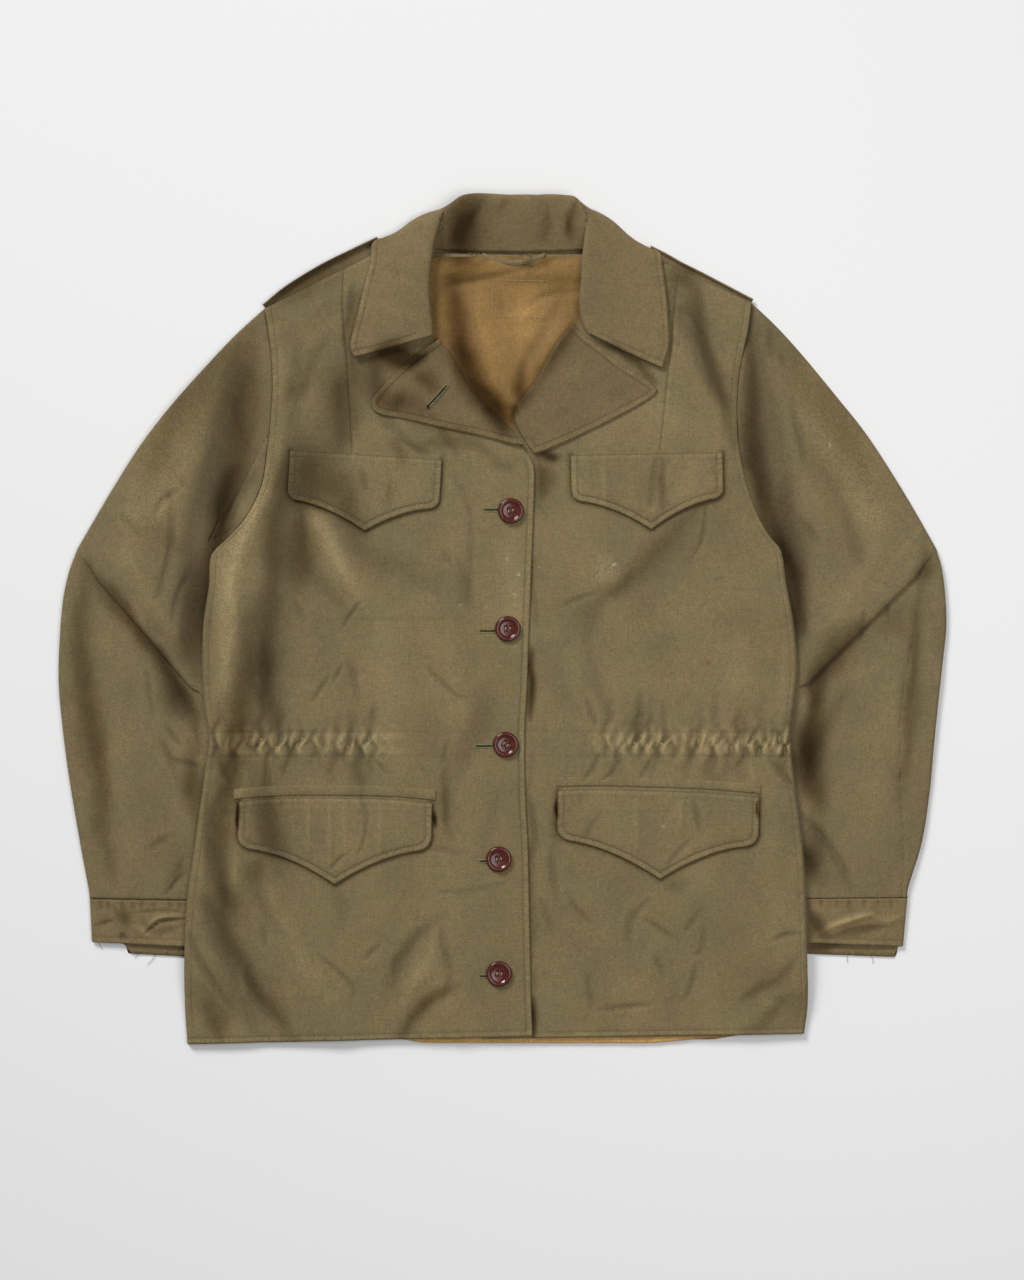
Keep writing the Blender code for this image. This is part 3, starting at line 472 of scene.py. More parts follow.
def nearest(line, x, y):
    """Distance to a line of points, how far along the line that is, and which side: +1 is left of it."""
    line = np.asarray(line, float)[:, :2]
    best = np.full(np.shape(x), 1e9)
    along = np.zeros(np.shape(x))
    side = np.ones(np.shape(x))
    gone = 0.0
    for a, b in zip(line[:-1], line[1:]):
        run = b - a
        length = max(np.hypot(*run), 1e-9)
        t = np.clip(((x - a[0]) * run[0] + (y - a[1]) * run[1]) / length**2, 0, 1)
        away = np.hypot(x - a[0] - t * run[0], y - a[1] - t * run[1])
        closer = away < best
        best = np.where(closer, away, best)
        along = np.where(closer, gone + t * length, along)
        side = np.where(closer, np.sign(run[0] * (y - a[1]) - run[1] * (x - a[0])), side)
        gone += length
    return best, along, side


def curve(path, step=6.0):
    """A smooth line through the places of a path, with a point about every step."""
    path = np.asarray(path, float)
    count = int(lengths_along(path[:, :2])[-1] / step) + 1
    return spline(path, np.linspace(0, len(path) - 1, max(3, count)))


# Creases narrower than this are fine ones, and how many widths away a crease still shows
NARROW_CREASE = 5.5
CREASE_REACH = 2.6


def boxed(line, x, y, reach):
    """Which places are within reach of the upright box round a line."""
    low, high = line.min(axis=0) - reach, line.max(axis=0) + reach
    return (x > low[0]) & (x < high[0]) & (y > low[1]) & (y < high[1])


def creases(table, x, y, fine=1.0):
    """Sum of ridges and troughs, each a bell across its own line, lower and narrower towards its ends. The
    narrow ones are made sharper and deeper by the share fine."""
    total = np.zeros(np.shape(x))
    for width, height, *places in table:
        if width < NARROW_CREASE:
            width, height = width / fine**0.6, height * fine
        line = curve(np.reshape(places, (-1, 2)))
        near = boxed(line, x, y, CREASE_REACH * width)
        if near.any():
            away, along, _ = nearest(line, x[near], y[near])
            taper = np.sin(np.pi * (0.06 + 0.88 * along / lengths_along(line)[-1])) ** 0.7
            total[near] += height * taper * bell(away, width * (0.45 + 0.55 * taper))
    return total


# Swellings of the cloth: height, lean along X and along Y, width and length
CRUMPLE = [(0.55, 0.35, 0, 34, 58), (0.30, -0.3, 0, 15, 26), (0.13, 0.5, -0.2, 7, 11), (0.05, 0, 0, 3.4, 3.4)]


def crumple(x, y, seed):
    """The cloth's own small unevenness: swellings of four sizes, the larger ones taller than wide."""
    total = 0.0
    for k, (share, lean_x, lean_y, wide, tall) in enumerate(CRUMPLE):
        total = total + share * noise(x + lean_x * y, y + lean_y * x, wide, tall, seed + k)
    return total


def gathers(side, x, y):
    """The waist's puckers: sharp troughs that slant to and fro along the cord, each with a ridge beside it,
    that open out and die away unevenly past the band."""
    total = np.zeros(np.shape(x))
    zone = np.abs(y - WAIST_Y) < GATHER_ZONE
    if not zone.any():
        return total
    u, v = x[zone], y[zone] - WAIST_Y
    sunk = np.zeros(len(u))
    near = bell(v, GATHER_CORE)
    for k, at in enumerate(GATHERS[side]):
        chance = [lattice(k, number, GATHER_SEED) for number in range(7)]
        slant = (0.15 + 0.45 * chance[1]) * (1 if k % 2 else -1)
        away = u - at - slant * v * near - 0.12 * v - 1.2 * np.sin(v / 3.4 + 6.28 * chance[2])
        reach = np.where(v > 0, 12 + 26 * chance[3] ** 2, 10 + 24 * chance[4] ** 2)
        width = 1.3 + 0.7 * chance[5] + 0.11 * np.abs(v)
        depth = (1.3 + 2.1 * chance[6]) * GATHER_SHARE[side]
        sunk -= depth * np.exp(-((np.abs(away) / width) ** 1.4)) * bell(v, reach)
        sunk += 0.6 * depth * bell(away - 1.9 * width, width) * near
    band = np.exp(-((v / 13.0) ** 4))
    stitched = bell(np.abs(v) - BAND_HALF, 1.6)
    low, high = GATHER_X[side]
    within = smooth((u - low + 6) / 12) * smooth((high + 6 - u) / 12)
    rumple = 0.8 * noise(u + 0.5 * v, v - 0.2 * u, 6.0, 9.0, 77)
    total[zone] = sunk + within * (0.6 * band + 0.2 + rumple * band) - (0.15 + 0.3 * within) * stitched
    return total


def noise_along(along, size, seed):
    """Swellings along a line, about so long each."""
    return noise(along, 0 * along, size, 1.0, seed)


def ribs_along(along, seed):
    """How high the puckers beside stitches stand: ribs at a nearly even pitch, some of them weak."""
    waves = np.sin(2 * math.pi * along / RIB_PITCH + 2.4 * noise_along(along, 9.0, seed + 9))
    strength = 0.5 + 0.5 * noise_along(along, 14.0, seed + 10)
    return 0.62 * waves * strength + 0.5 * noise_along(along, PUCKER, seed)


def edge_relief(away, along, seed):
    """A sewn edge: rounded off, with a puckered lip inside it and the groove that the stitches pull in."""
    lip = smooth(away / 1.3) * (1 - smooth((away - EDGE_STITCH + 1.6) / 1.4))
    puckers = ribs_along(along, seed)
    groove = bell(away - EDGE_STITCH, 0.85)
    outside = bell(away - EDGE_STITCH - 3.5, 2.2)
    raised = lip * (0.12 + 0.42 * puckers) + outside * 0.12 * puckers
    return raised - groove * (0.32 + 0.14 * puckers) - 0.55 * (1 - smooth(away / 1.4))


def seam_relief(away, along, side, seed):
    """A seam: a narrow valley, fuller on the side that the allowance is pressed to, with short puckers."""
    puckers = noise_along(along, PUCKER * 1.4, seed)
    full = (0.34 + 0.2 * puckers) * bell(away - 3.4, 2.4) * (side > 0)
    return full - 0.6 * bell(away, 1.1) + 0.18 * puckers * bell(away, 4.5)


# ---------------------------------------------------------------- tables of the cloth's folds

# How deep the creases lie in each front, as a share of their heights below
CREASE_DEPTH = {"right": 1.1, "left": 1.05}
FINE_DEPTH = 1.9
SLEEVE_CREASE_DEPTH = 1.15

# Each crease: half width, height, and X and Y of each place along its line. A height below 0 is a trough.
CREASES = {
    "right": [
        (9, 2.2, -205, 261, -196, 189, -207, 135, -232, 80, -245, 36, -250, -54, -258, -110),
        (15, -3.2, -190, 200, -189, 135, -196, 81, -203, 9, -208, -72, -205, -112),
        (12, -2.6, -137, 250, -118, 215, -104, 180), (12, -1.8, -158, 222, -152, 160, -150, 120),
        (11, -3.0, -221, -135, -212, -180, -198, -228), (10, -2.4, -266, -252, -243, -315, -225, -369),
        (10, 1.6, -236, -130, -240, -190, -236, -260), (12, -1.6, -20, -60, -24, -100, -40, -140),
        (7, -1.7, -197, 130, -189, 108, -184, 81, -180, 58, -171, 40, -160, 27, -142, 7),
        (9, 1.2, -180, 103, -164, 76, -151, 54, -137, 31, -124, 18),
        (10, -1.1, -160, 99, -142, 72, -124, 54, -97, 45, -74, 33, -56, 22),
        (8, 1.0, -205, 162, -211, 126, -223, 90, -232, 67, -243, 27, -243, -27, -236, -40, -250, -72),
        (7, -0.9, -232, 18, -228, -40, -225, -99), (6, -0.7, -205, -54, -196, -104),
        (5, -0.9, -137, -36, -130, -74), (2.6, -0.8, -215, -36, -203, -54),
        (2.6, -0.8, -144, -40, -153, -58), (3, -0.9, -157, -52, -171, -74), (3, -0.9, -128, 16, -144, -7),
        (3, -0.7, -54, 63, -44, 45), (3.5, -1.0, -72, -40, -45, -65, -29, -69),
        (4, -0.9, -115, -76, -119, -103), (3, -0.7, -187, 18, -178, -4),
        (5, -0.7, -47, 130, -32, 108, -29, 72, -31, 18), (5, -0.9, -56, 171, -40, 148),
        (4, -0.8, -92, 162, -68, 148), (6, -1.0, -115, 198, -97, 171, -90, 153),
        (1.6, -0.25, -146, 0, -38, 0), (9, -1.0, -11, -54, -14, -90, -43, -121),
        (6, -1.0, -191, 198, -173, 212), (7, 0.9, -155, 318, -169, 279),
        (3, -1.0, -254, -126, -249, -140, -243, -149),
        (7, -1.6, -247, -153, -259, -171, -262, -189, -259, -216, -252, -243, -249, -270, -256, -284),
        (6, 0.9, -272, -126, -271, -270), (6, 1.1, -241, -171, -241, -252),
        (4.5, -1.5, -211, -121, -211, -153, -207, -180, -203, -207),
        (7, -1.5, -216, -216, -218, -238, -211, -265, -196, -288, -187, -306),
        (2.8, -1.1, -133, -121, -127, -148, -126, -162, -122, -180, -125, -202, -130, -211),
        (3, -0.8, -142, -211, -155, -225), (4, 0.7, -174, -165, -174, -215),
        (4, 0.7, -155, -165, -155, -225), (4, 0.6, -142, -165, -141, -215),
        (5, 0.7, -110, -165, -110, -210), (2.6, -0.7, -115, -126, -103, -140),
        (3, -1.0, -53, -140, -51, -162, -51, -193), (3, -0.7, -49, -108, -54, -130),
        (6, -0.9, -5, -153, -9, -175, -16, -198, -22, -216), (4, -0.6, -65, -207, -29, -209),
        (4, -0.7, -56, -246, -29, -243, -2, -237, 11, -232),
        (7, -1.4, -52, -268, -70, -279, -88, -301, -101, -328, -106, -351),
        (7, 1.3, -61, -283, -65, -306, -79, -328, -92, -351),
        (5, -1.0, -56, -279, -50, -306, -47, -320, -52, -342),
        (10, 1.2, -214, -234, -196, -283, -182, -306, -155, -342),
        (3, -0.9, -166, -301, -137, -328, -133, -342), (7, -0.9, -151, -234, -142, -279),
        (4, -0.7, -110, -292, -124, -306), (6, 1.1, -259, -301, -241, -328, -232, -355),
        (6, -1.3, -239, -306, -227, -328, -214, -351, -196, -364),
        (5, -1.1, -281, -283, -272, -306, -259, -328, -243, -351), (3, -0.7, -215, -274, -212, -297),
    ],
    "left": [
        (8, -2.0, 150, 306, 160, 279, 190, 222, 208, 182), (16, 1.2, 120, 200, 150, 180, 180, 170),
        (14, 1.0, 214, -20, 220, -90), (4, -1.3, 139, 148, 136, 126, 134, 99), (3, 0.8, 134, 103, 139, 90),
        (5, 0.7, 92, 144, 92, 96), (6, 0.8, 117, 144, 117, 94),
        (9, -1.8, 176, 97, 163, 79, 140, 52, 113, 30, 91, 16, 82, 0, 76, -18),
        (3, -0.8, 184, 103, 180, 72, 169, 54), (6, -1.4, 75, -25, 81, -40, 85, -58, 92, -76, 99, -90),
        (4, -0.9, 77, -72, 85, -99), (7, 0.9, 63, -27, 68, -72), (3, -0.7, 52, 11, 70, 20, 88, 25),
        (1.6, -0.25, 178, 27, 250, 27), (2.4, -0.5, 191, 36, 203, 38), (4, -0.7, 124, -63, 124, -108),
        (4, -0.7, 146, -72, 146, -112), (4, -0.7, 191, -63, 191, -108), (6, 0.8, 256, -18, 254, -90),
        (6, -1.3, 166, 297, 169, 270, 178, 248, 180, 225, 196, 202, 205, 194),
        (3, -0.9, 88, -121, 81, -135, 72, -146), (3, -0.8, 106, -126, 97, -140, 88, -144),
        (3, -0.8, 137, -121, 124, -144), (3, -0.7, 214, -126, 209, -135), (4, 0.7, 223, -130, 227, -148),
        (4, -1.0, 236, -121, 259, -148, 265, -162), (3, -0.7, 70, -155, 72, -166),
        (5, -0.7, 74, -198, 88, -175), (5, 0.7, 121, -162, 121, -207), (5, 0.6, 160, -162, 160, -189),
        (3.5, -1.0, 172, -162, 178, -189, 180, -196), (4, -0.7, 149, -220, 169, -198),
        (5, -1.0, 45, -202, 45, -225, 49, -252), (4, -0.8, 34, -252, 43, -274, 47, -288),
        (4, -0.8, 61, -252, 70, -265, 81, -274), (5, -1.0, 133, -252, 119, -265, 113, -279, 115, -297),
        (4, -0.8, 128, -270, 142, -279, 155, -288), (4, -0.7, 178, -261, 164, -283),
        (4, -0.8, 182, -270, 180, -297, 173, -301), (4, -0.7, 137, -301, 146, -324),
        (4, -0.8, 175, -310, 171, -328, 164, -342), (4, -0.8, 77, -319, 81, -351),
        (4, -0.8, 88, -351, 137, -346), (4, -0.9, 243, -288, 254, -283, 268, -282),
        (6, -1.9, 218, -342, 232, -333, 245, -328, 254, -320, 263, -306), (7, 1.0, 232, -342, 245, -351),
        (10, 0.6, 52, -234, 88, -261), (10, 0.5, 243, -162, 246, -297),
    ],
}
SLEEVE_CREASES = {
    "right": [
        (13, -3.0, -236, 243, -254, 162, -272, 81, -281, 9, -281, -36),
        (26, 3.4, -262, 236, -292, 168, -318, 100, -335, 60), (3, -0.8, -290, 128, -284, 117),
        (4, -1.0, -290, 117, -304, 108, -313, 94),
        (5, -0.9, -299, 117, -297, 81, -301, 54, -308, 27, -313, 18),
        (4, -0.9, -344, 94, -331, 81, -326, 72), (10, -1.6, -263, 108, -268, 72, -277, 18, -281, -18),
        (5, -1.0, -277, 45, -290, 27, -297, 0), (10, -1.4, -317, 0, -304, -27, -299, -63, -297, -90),
        (8, -1.2, -290, -63, -286, -99), (3, -0.9, -320, -45, -317, -72, -313, -90),
        (3, -0.9, -304, -94, -295, -108, -288, -115), (4, -0.9, -308, -108, -299, -126, -294, -144),
        (4, -0.8, -299, -126, -272, -133), (5, -0.7, -317, -207, -299, -194),
        (3, -1.0, -286, -227, -295, -238, -304, -248), (9, 0.9, -340, 60, -318, 20, -292, -18),
        (16, 0.7, -355, -20, -352, -90, -345, -170),
    ],
    "left": [
        (12, -3.0, 222, 279, 231, 216, 248, 126, 262, 54, 270, -9),
        (26, 3.0, 262, 246, 296, 178, 322, 110, 338, 70), (5, -0.9, 241, 261, 243, 234),
        (4, -0.7, 250, 243, 254, 225), (5, -0.9, 259, 198, 268, 162, 272, 135),
        (6, -1.3, 290, 135, 304, 108, 313, 81, 322, 54, 331, 40), (4, -1.0, 232, 112, 245, 104, 263, 94),
        (5, -0.9, 268, 90, 286, 68), (9, -1.4, 254, 81, 268, -27), (4, -0.8, 326, 9, 322, -18),
        (4, -0.7, 343, 18, 349, 0), (7, -1.6, 313, -63, 304, -76, 290, -108, 277, -135, 270, -171),
        (5, -1.1, 270, -176, 286, -194, 304, -220, 315, -246), (6, -1.1, 268, -176, 281, -207, 290, -238),
        (8, -0.9, 272, -45, 282, -70), (7, -0.9, 272, -94, 278, -126), (6, -0.8, 288, -144, 296, -180),
        (9, 0.9, 340, 60, 318, 28, 294, -8), (15, 0.7, 345, -20, 345, -90, 335, -170),
    ],
}
CUFF_CREASES = {
    "right": [
        (2.2, -1.5, -322, -283, -308, -272, -286, -270), (3, 1.2, -323, -280, -309, -268, -286, -266.5),
        (2.4, -0.8, -335, -264.5, -308, -262.5, -285, -264.5), (3.5, -1.3, -366, -276, -350, -271),
        (3, -1.0, -350, -257, -345, -272), (3.5, -1.8, -343, -282, -340, -290),
        (4, 0.8, -331, -276, -318, -286),
        *((2.2, -1.0, x, -253.5, x + 1, -263) for x in (-362, -355, -343, -333, -325, -314, -300, -291)),
    ],
    "left": [
        (4, 1.6, 284, -283, 300, -274, 332, -265), (4, -1.2, 296, -286, 320, -279, 345, -277),
        (4, 0.9, 330, -264, 345, -272, 360, -266), (4, -0.8, 278, -262, 290, -276),
        (4, -0.7, 313, -255, 320, -280),
        *((2.2, -0.9, x, -251.5, x + 1, -260) for x in (262, 274, 287, 301, 312, 326, 338, 350)),
    ],
}

# The deepest painted shade and the palest painted highlight
DARKEST, PALEST = -0.55, 0.25

# How much darker, below 0, or paler the cloth is painted: painted shade where it lies in shade, and painted
# highlight where light falls on it.
# Each stroke: half width, share, and X and Y of each place along its line
PAINTED_LIGHT_STROKES = {
    "body": [
        (20, -0.28, -176, 162, -176, 126, -178, 90), (18, -0.14, -166, 171, -162, 135, -166, 108),
        (15, -0.26, -180, 90, -180, 54, -178, 27), (12, -0.22, -198, 195, -204, 90, -209, 9, -216, -72),
        (11, -0.24, -144, 135, -141, 99, -128, 65), (8, 0.16, -169, 97, -153, 68, -137, 32),
        (14, -0.32, -225, 18, -230, -54, -238, -108, -249, -162, -252, -225, -249, -274),
        (9, -0.22, -216, -18, -211, -63, -198, -104), (14, -0.20, -213, -140, -211, -180, -207, -207),
        (7, 0.06, -222, -130, -223, -171, -216, -207),
        (5, 0.10, -191, 189, -205, 135, -232, 81, -243, 36, -248, -54),
        (5, -0.08, -263, 54, -268, -27, -266, -90), (13, -0.36, -216, 277, -182, 304, -151, 322, -112, 342),
        (13, -0.30, -138, 236, -142, 200, -140, 158), (9, -0.24, -121, 232, -115, 214, -112, 192),
        (10, -0.60, -115, 232, -88, 241, -65, 245), (6, -0.22, -133, 297, -138, 261, -141, 243),
        (8, -0.08, -142, 216, -155, 180), (9, -0.12, -182, 252, -193, 198),
        (7, -0.12, -155, 261, -173, 216, -191, 180), (7, -0.16, -106, 171, -65, 162, -20, 151, 11, 140),
        (10, -0.24, -268, -248, -240, -306, -208, -346, -180, -382), (10, -0.24, -260, -338, -252, -382),
        (5, 0.14, -240, -310, -231, -346), (8, -0.30, -94, -378, -70, -346, -40, -328),
        (5, -0.12, -99, -342, -90, -306, -70, -279),
        (8, -0.26, 169, 322, 176, 288, 183, 248, 198, 198, 209, 162), (11, -0.22, 153, 328, 169, 306),
        (6, -0.20, 212, 243, 215, 198, 216, 153), (4, -0.20, 140, 148, 141, 94),
        (6, -0.12, 49, -153, 48, -189, 54, -212), (7, -0.12, 169, -234, 142, -238),
        (7, -0.14, 218, -369, 245, -346, 268, -342), (11, 0.10, 9, 81, 9, -27),
        (13, 0.06, 52, -72, 65, -117), (20, 0.06, -128, 27, -101, -27, -92, -72),
        (6, -0.14, -52, -126, -54, -162, -50, -198), (7, -0.10, -38, 54, -29, 9),
        (9, -0.12, 205, 126, 124, 54, 70, 9), (8, -0.24, -29, 220, -7, 189, 11, 169),
        (9, -0.20, -106, 202, -92, 189), (6, -0.15, -65, 176, -20, 162), (8, -0.40, 20, 222, 12, 188),
        (11, -0.24, -80, 226, -58, 204), (11, -0.16, -110, 197, -62, 184), (8, -0.24, -20, 190, 4, 170),
        (5, -0.36, 8, 192, 7, 180), (9, -0.16, -102, 157, -84, 147), (10, -0.16, -222, -212, -226, -240),
        (10, -0.10, -202, -180, -199, -212), (12, -0.16, -248, -235, -236, -268),
        (1.8, -0.60, -237.8, -166, -237.6, -186), (1.8, -0.60, -62.4, -168, -62.6, -186),
        (1.8, -0.50, 49.2, -158, 49.4, -178), (1.8, -0.50, 231.6, -164, 231.2, -184),
        (4, -0.36, 88, 249, 137, 212), (17, -0.50, -31, 382, -36, 342, -40, 310),
        (6, -0.20, 59, 360, 65, 338), (12, -0.50, -47, 306, -40, 252, -26, 212, -8, 180),
        (6, -0.25, 65, 288, 52, 243, 25, 202), (16, 0.18, 20, 302, 25, 258, 20, 236),
        (4, -0.20, -29, 322, 65, 322), (5, -0.15, -126, 135, -123, 108), (5, -0.12, -101, 135, -99, 108),
        (4, -0.14, 2, 375, -5, 356), (4, -0.16, 41, 375, 38, 342), (4, -0.25, 65, 374, 57, 346),
        (5, -0.20, -18, 378, -29, 364, -43, 342), (8, -0.30, -116, 236, -98, 228, -78, 246),
    ],
    "left_front": [
        (7, -0.52, 32, 146, 47, 150), (8, -0.22, 14, 198, 19, 170), (8, -0.34, 32, 140, 35, 120, 31, 104),
        (3.6, -0.50, 25, -27, 25, -63, 24.5, -92), (4, -0.50, 25.5, -338, 26, -380),
        (4, -0.15, 27, 54, 27, 0), (4, -0.18, 26, -126, 27, -342),
    ],
    "right_sleeve": [
        (11, -0.24, -281, 56, -284, -30), (10, -0.20, -307, -55, -282, -92), (8, 0.16, -230, 112, -252, 78),
        (18, -0.34, -224, 262, -232, 207, -240, 153, -256, 84),
        (13, -0.46, -246, 136, -259, 72, -267, 9, -274, -44),
        (23, -0.26, -241, 261, -277, 207, -304, 162, -322, 117), (14, -0.12, -344, 81, -308, 72, -286, 68),
        (9, -0.42, -373, 54, -344, 14, -308, -32, -281, -76, -272, -112),
        (11, -0.28, -379, 54, -378, -18, -374, -72, -364, -153, -351, -234),
        (4, 0.10, -359, 45, -322, 0, -281, -45), (9, -0.26, -284, -108, -279, -144, -276, -189),
        (5, -0.12, -286, -207, -299, -238), (7, -0.50, -276, -266, -272, -292),
        (5, -0.25, -342, -261, -339, -284), (4, -0.15, -326, -270, -290, -274),
    ],
    "left_sleeve": [
        (4, -0.40, 276, -293, 305, -293), (3, 0.16, 284, -283, 300, -274, 330, -266),
        (4, -0.18, 300, -284, 340, -282),
        (11, -0.40, 221, 261, 224, 198, 227, 144, 239, 94, 255, 54, 266, 18, 270, -9),
        (13, -0.26, 256, 118, 261, 45, 264, -30), (10, -0.18, 284, -165, 288, -228),
        (20, -0.20, 245, 261, 277, 207, 313, 162, 340, 117), (14, -0.12, 259, 171, 295, 126, 313, 90),
        (8, -0.25, 389, 58, 371, 40), (11, -0.40, 331, 2, 304, -22, 284, -50, 279, -81),
        (13, -0.50, 279, -72, 275, -126, 286, -162), (8, -0.40, 273, -207, 281, -234),
        (7, -0.22, 376, 36, 369, -36, 365, -108, 360, -162), (9, -0.10, 340, 18, 358, -18),
        (6, -0.36, 279, -261, 296, -285),
    ],
}

# X of the puckers' troughs along the waist, and the tunnel that the cord runs in
GATHERS = {
    "right": [-258, -250, -243, -236, -226, -219, -210, -202, -192, -184, -170, -162, -150, -139, -130, -124,
              -117],
    "left": [at + twin for at in (92, 102, 113, 124, 138, 153, 169, 187, 203, 216, 228, 241, 251)
             for twin in (0, 5.5)],
}
BAND_HALF = 11.0
BAND_ENDS = {"right": (-56, -74), "left": (34, 50)}
EDGE_STITCH = 5.6
PUCKER = 2.8

# How much the puckers of an edge show in painted shade and highlight, as a share of their height,
# and their pitch
EDGE_SHOWS = 2.4
RIB_PITCH = 3.8

# The shoulder dart of each front
DARTS = {
    "right": [(-143, 320), (-144, 282), (-140, 229), (-135.5, 151)],
    "left": [(157, 308), (153, 262), (149, 223), (141.5, 152)],
}


# ---------------------------------------------------------------- meshes


def normals(grid, closed):
    """Unit normals of a grid of points, from the differences along its rows and columns."""
    if closed:
        wrapped = np.concatenate([grid[:, -1:], grid, grid[:, :1]], axis=1)
        across = (wrapped[:, 2:] - wrapped[:, :-2]) / 2
    else:
        across = np.gradient(grid, axis=1)
    return unit(np.cross(across, np.gradient(grid, axis=0)))


def cells(rows, columns, first, closed):
    """The four corners' numbers of each cell in a grid whose points start at number first."""
    i, j = np.meshgrid(np.arange(rows - 1), np.arange(columns if closed else columns - 1), indexing="ij")
    a = first + i * columns + j
    b = first + i * columns + (j + 1) % columns
    return np.stack([a, b, b + columns, a + columns], axis=-1).reshape(-1, 4)


def rim(outer, inner, every):
    """Faces between a line of outer points and the inner ones under one in every so many of them."""
    faces = []
    for k in range(len(inner) - 1):
        faces.append([*outer[k * every:(k + 1) * every + 1], inner[k + 1], inner[k]])
    return faces


# What a piece of cloth may carry per point, and its value where nothing is stated: distance to a seam and to
# an edge in millimetres, how far the cloth stands over its own mean (which the finish turns into painted
# shade and highlight), painted light and shade, rust and pale rubbed cloth
PAINT = {"seam_mm": 30.0, "edge_mm": 30.0, "stand": 0.0, "painted_light": 0.0, "rust": 0.0, "rubbed": 0.0}


def finish_piece(name, points, faces, paint, finish, flip=False):
    """A mesh object from points in millimetres, with a number per point for each name in paint."""
    mesh = bpy.data.meshes.new(name)
    if flip:
        faces = [face[::-1] for face in faces]
    mesh.from_pydata((np.asarray(points, float) * MM).tolist(), [], faces)
    for key, values in paint.items():
        mesh.attributes.new(key, "FLOAT", "POINT").data.foreach_set("value", np.asarray(values, np.float32))
    mesh.shade_smooth()
    mesh.materials.append(finish)
    piece = placed(name, mesh)
    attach(piece, "root")
    return piece


def shell(name, grid, wall, paint, finish, closed=False, flip=False, straight=True, every=3):
    """A piece of cloth from the grid of its outer face. The inner face has every third row and column, one
    wall below or, where straight is False, one wall in along the normal. A rim joins them at open edges."""
    rows, columns = grid.shape[:2]
    if straight:
        inward = np.zeros_like(grid)
        inward[..., 2] = -1.0
    else:
        inward = -normals(grid, closed) * (-1.0 if flip else 1.0)
    inner = (grid + inward * wall)[::every, ::every]
    inner_rows, inner_columns = inner.shape[:2]
    start = rows * columns
    points = np.concatenate([grid.reshape(-1, 3), inner.reshape(-1, 3)])
    faces = cells(rows, columns, 0, closed).tolist()
    faces += cells(inner_rows, inner_columns, start, closed)[:, ::-1].tolist()
    out = np.arange(start).reshape(rows, columns)
    low = start + np.arange(inner_rows * inner_columns).reshape(inner_rows, inner_columns)
    if closed:
        out = np.concatenate([out, out[:, :1]], axis=1)
        low = np.concatenate([low, low[:, :1]], axis=1)
    faces += rim(out[0][::-1].tolist(), low[0][::-1].tolist(), every)
    faces += rim(out[-1].tolist(), low[-1].tolist(), every)
    if not closed:
        faces += rim(out[:, 0].tolist(), low[:, 0].tolist(), every)
        faces += rim(out[::-1, -1].tolist(), low[::-1, -1].tolist(), every)
    whole = {}
    for key in PAINT:
        values = np.broadcast_to(np.asarray(paint.get(key, PAINT[key]), float), (rows, columns))
        whole[key] = np.concatenate([values.reshape(-1), values[::every, ::every].reshape(-1)])
    return finish_piece(name, points, faces, whole, finish, flip)


def stations(lengths, spacing, every=3):
    """Places along a run at which a grid has rows, so that each step is about the spacing stated there."""
    steps = np.diff(lengths)
    count = np.concatenate([[0.0], np.cumsum(steps / spacing[:-1])])
    total = max(every, int(math.ceil(count[-1] / every)) * every)
    return np.interp(np.linspace(0, count[-1], total + 1), count, lengths)


def painted_light(x, y, key):
    """The painted shade or painted highlight at a place, its borders strayed and its strength uneven."""
    strayed_x = x + 4.5 * noise(x, y, 24, 38, 201) + 1.5 * noise(x, y, 8, 14, 202)
    strayed_y = y + 9.0 * noise(x, y, 26, 40, 203)
    uneven = 1.0 + 0.1 * noise(x, y, 14, 30, 205) + 0.05 * noise(x, y, 5, 9, 206)
    return np.clip(creases(PAINTED_LIGHT_STROKES[key], strayed_x, strayed_y) * uneven, DARKEST, PALEST)


def spots(table, x, y):
    """Sum of round soft marks, each from its centre, radius and strength."""
    total = np.zeros(np.shape(x))
    for at_x, at_y, radius, strength in table:
        away = np.hypot(x - at_x, y - at_y) + 0.3 * radius * noise(x, y, radius * 0.7, radius * 0.7, 91)
        total = np.maximum(total, strength * (1 - smooth((away / radius - 0.55) / 0.6)))
    return total


# ---------------------------------------------------------------- fronts

# Spacing of a front's points: in general, about the waist, at the side edge and at the centre edge, each with
# how far it reaches, and how many places the spacing is worked out at
FRONT_CELL = 1.7
WAIST_CELL, WAIST_FINE = 1.3, 26.0
SIDE_CELL, SIDE_FINE = 0.8, 6.0
CENTRE_CELL, CENTRE_FINE = 0.95, 12.0
FRONT_SAMPLES = 1500
ROW_SAMPLES = 900

# Heights of the stitched groove, of the puckers beside it, and of the hem's waves and lift
STITCH_GROOVE = 0.42
SIDE_PUCKER = 0.3
HEM_WAVE = 0.5
HEM_LIFT = 0.4
ARMHOLE_STITCH = 5.8
SIDE_STITCH = 6.4
SEAM_ROLL = 4.0
SLOT_DIP = 0.9

# The centre edge is sewn from this row on, and rolls into the lapel above it
EDGED_FROM_ROW = 8.0
FRONT_SEEDS = {"right": 11, "left": 31}


def rolled(distance, run=SEAM_ROLL):
    """Share of the full height at a distance in from a seam: a quarter of an ellipse."""
    return np.sqrt(np.clip(1 - (1 - np.clip(distance / run, 0, 1)) ** 2, 0, 1))


# Marks on the fronts: centre, radius and strength
RUST = [(185, -38, 2.6, 0.8), (233.5, -38, 2.2, 0.55), (244.5, -28, 1.8, 0.5), (203.5, -80, 2.2, 0.6),
        (192, -168, 2.4, 0.3), (144.5, -186, 1.2, 0.4)]
RUBBED = [(100, 49.5, 2.2, 0.6), (93, 43, 14, 0.12), (15, 41, 2.2, 0.6), (11, 22, 2.0, 0.5),
          (31, 48, 1.8, 0.4), (4, 55, 1.8, 0.4), (-38, 13, 1.8, 0.35), (-15, 12, 1.6, 0.35),
          (-3, -42, 1.6, 0.4), (145, -186, 1.5, 0.4)]


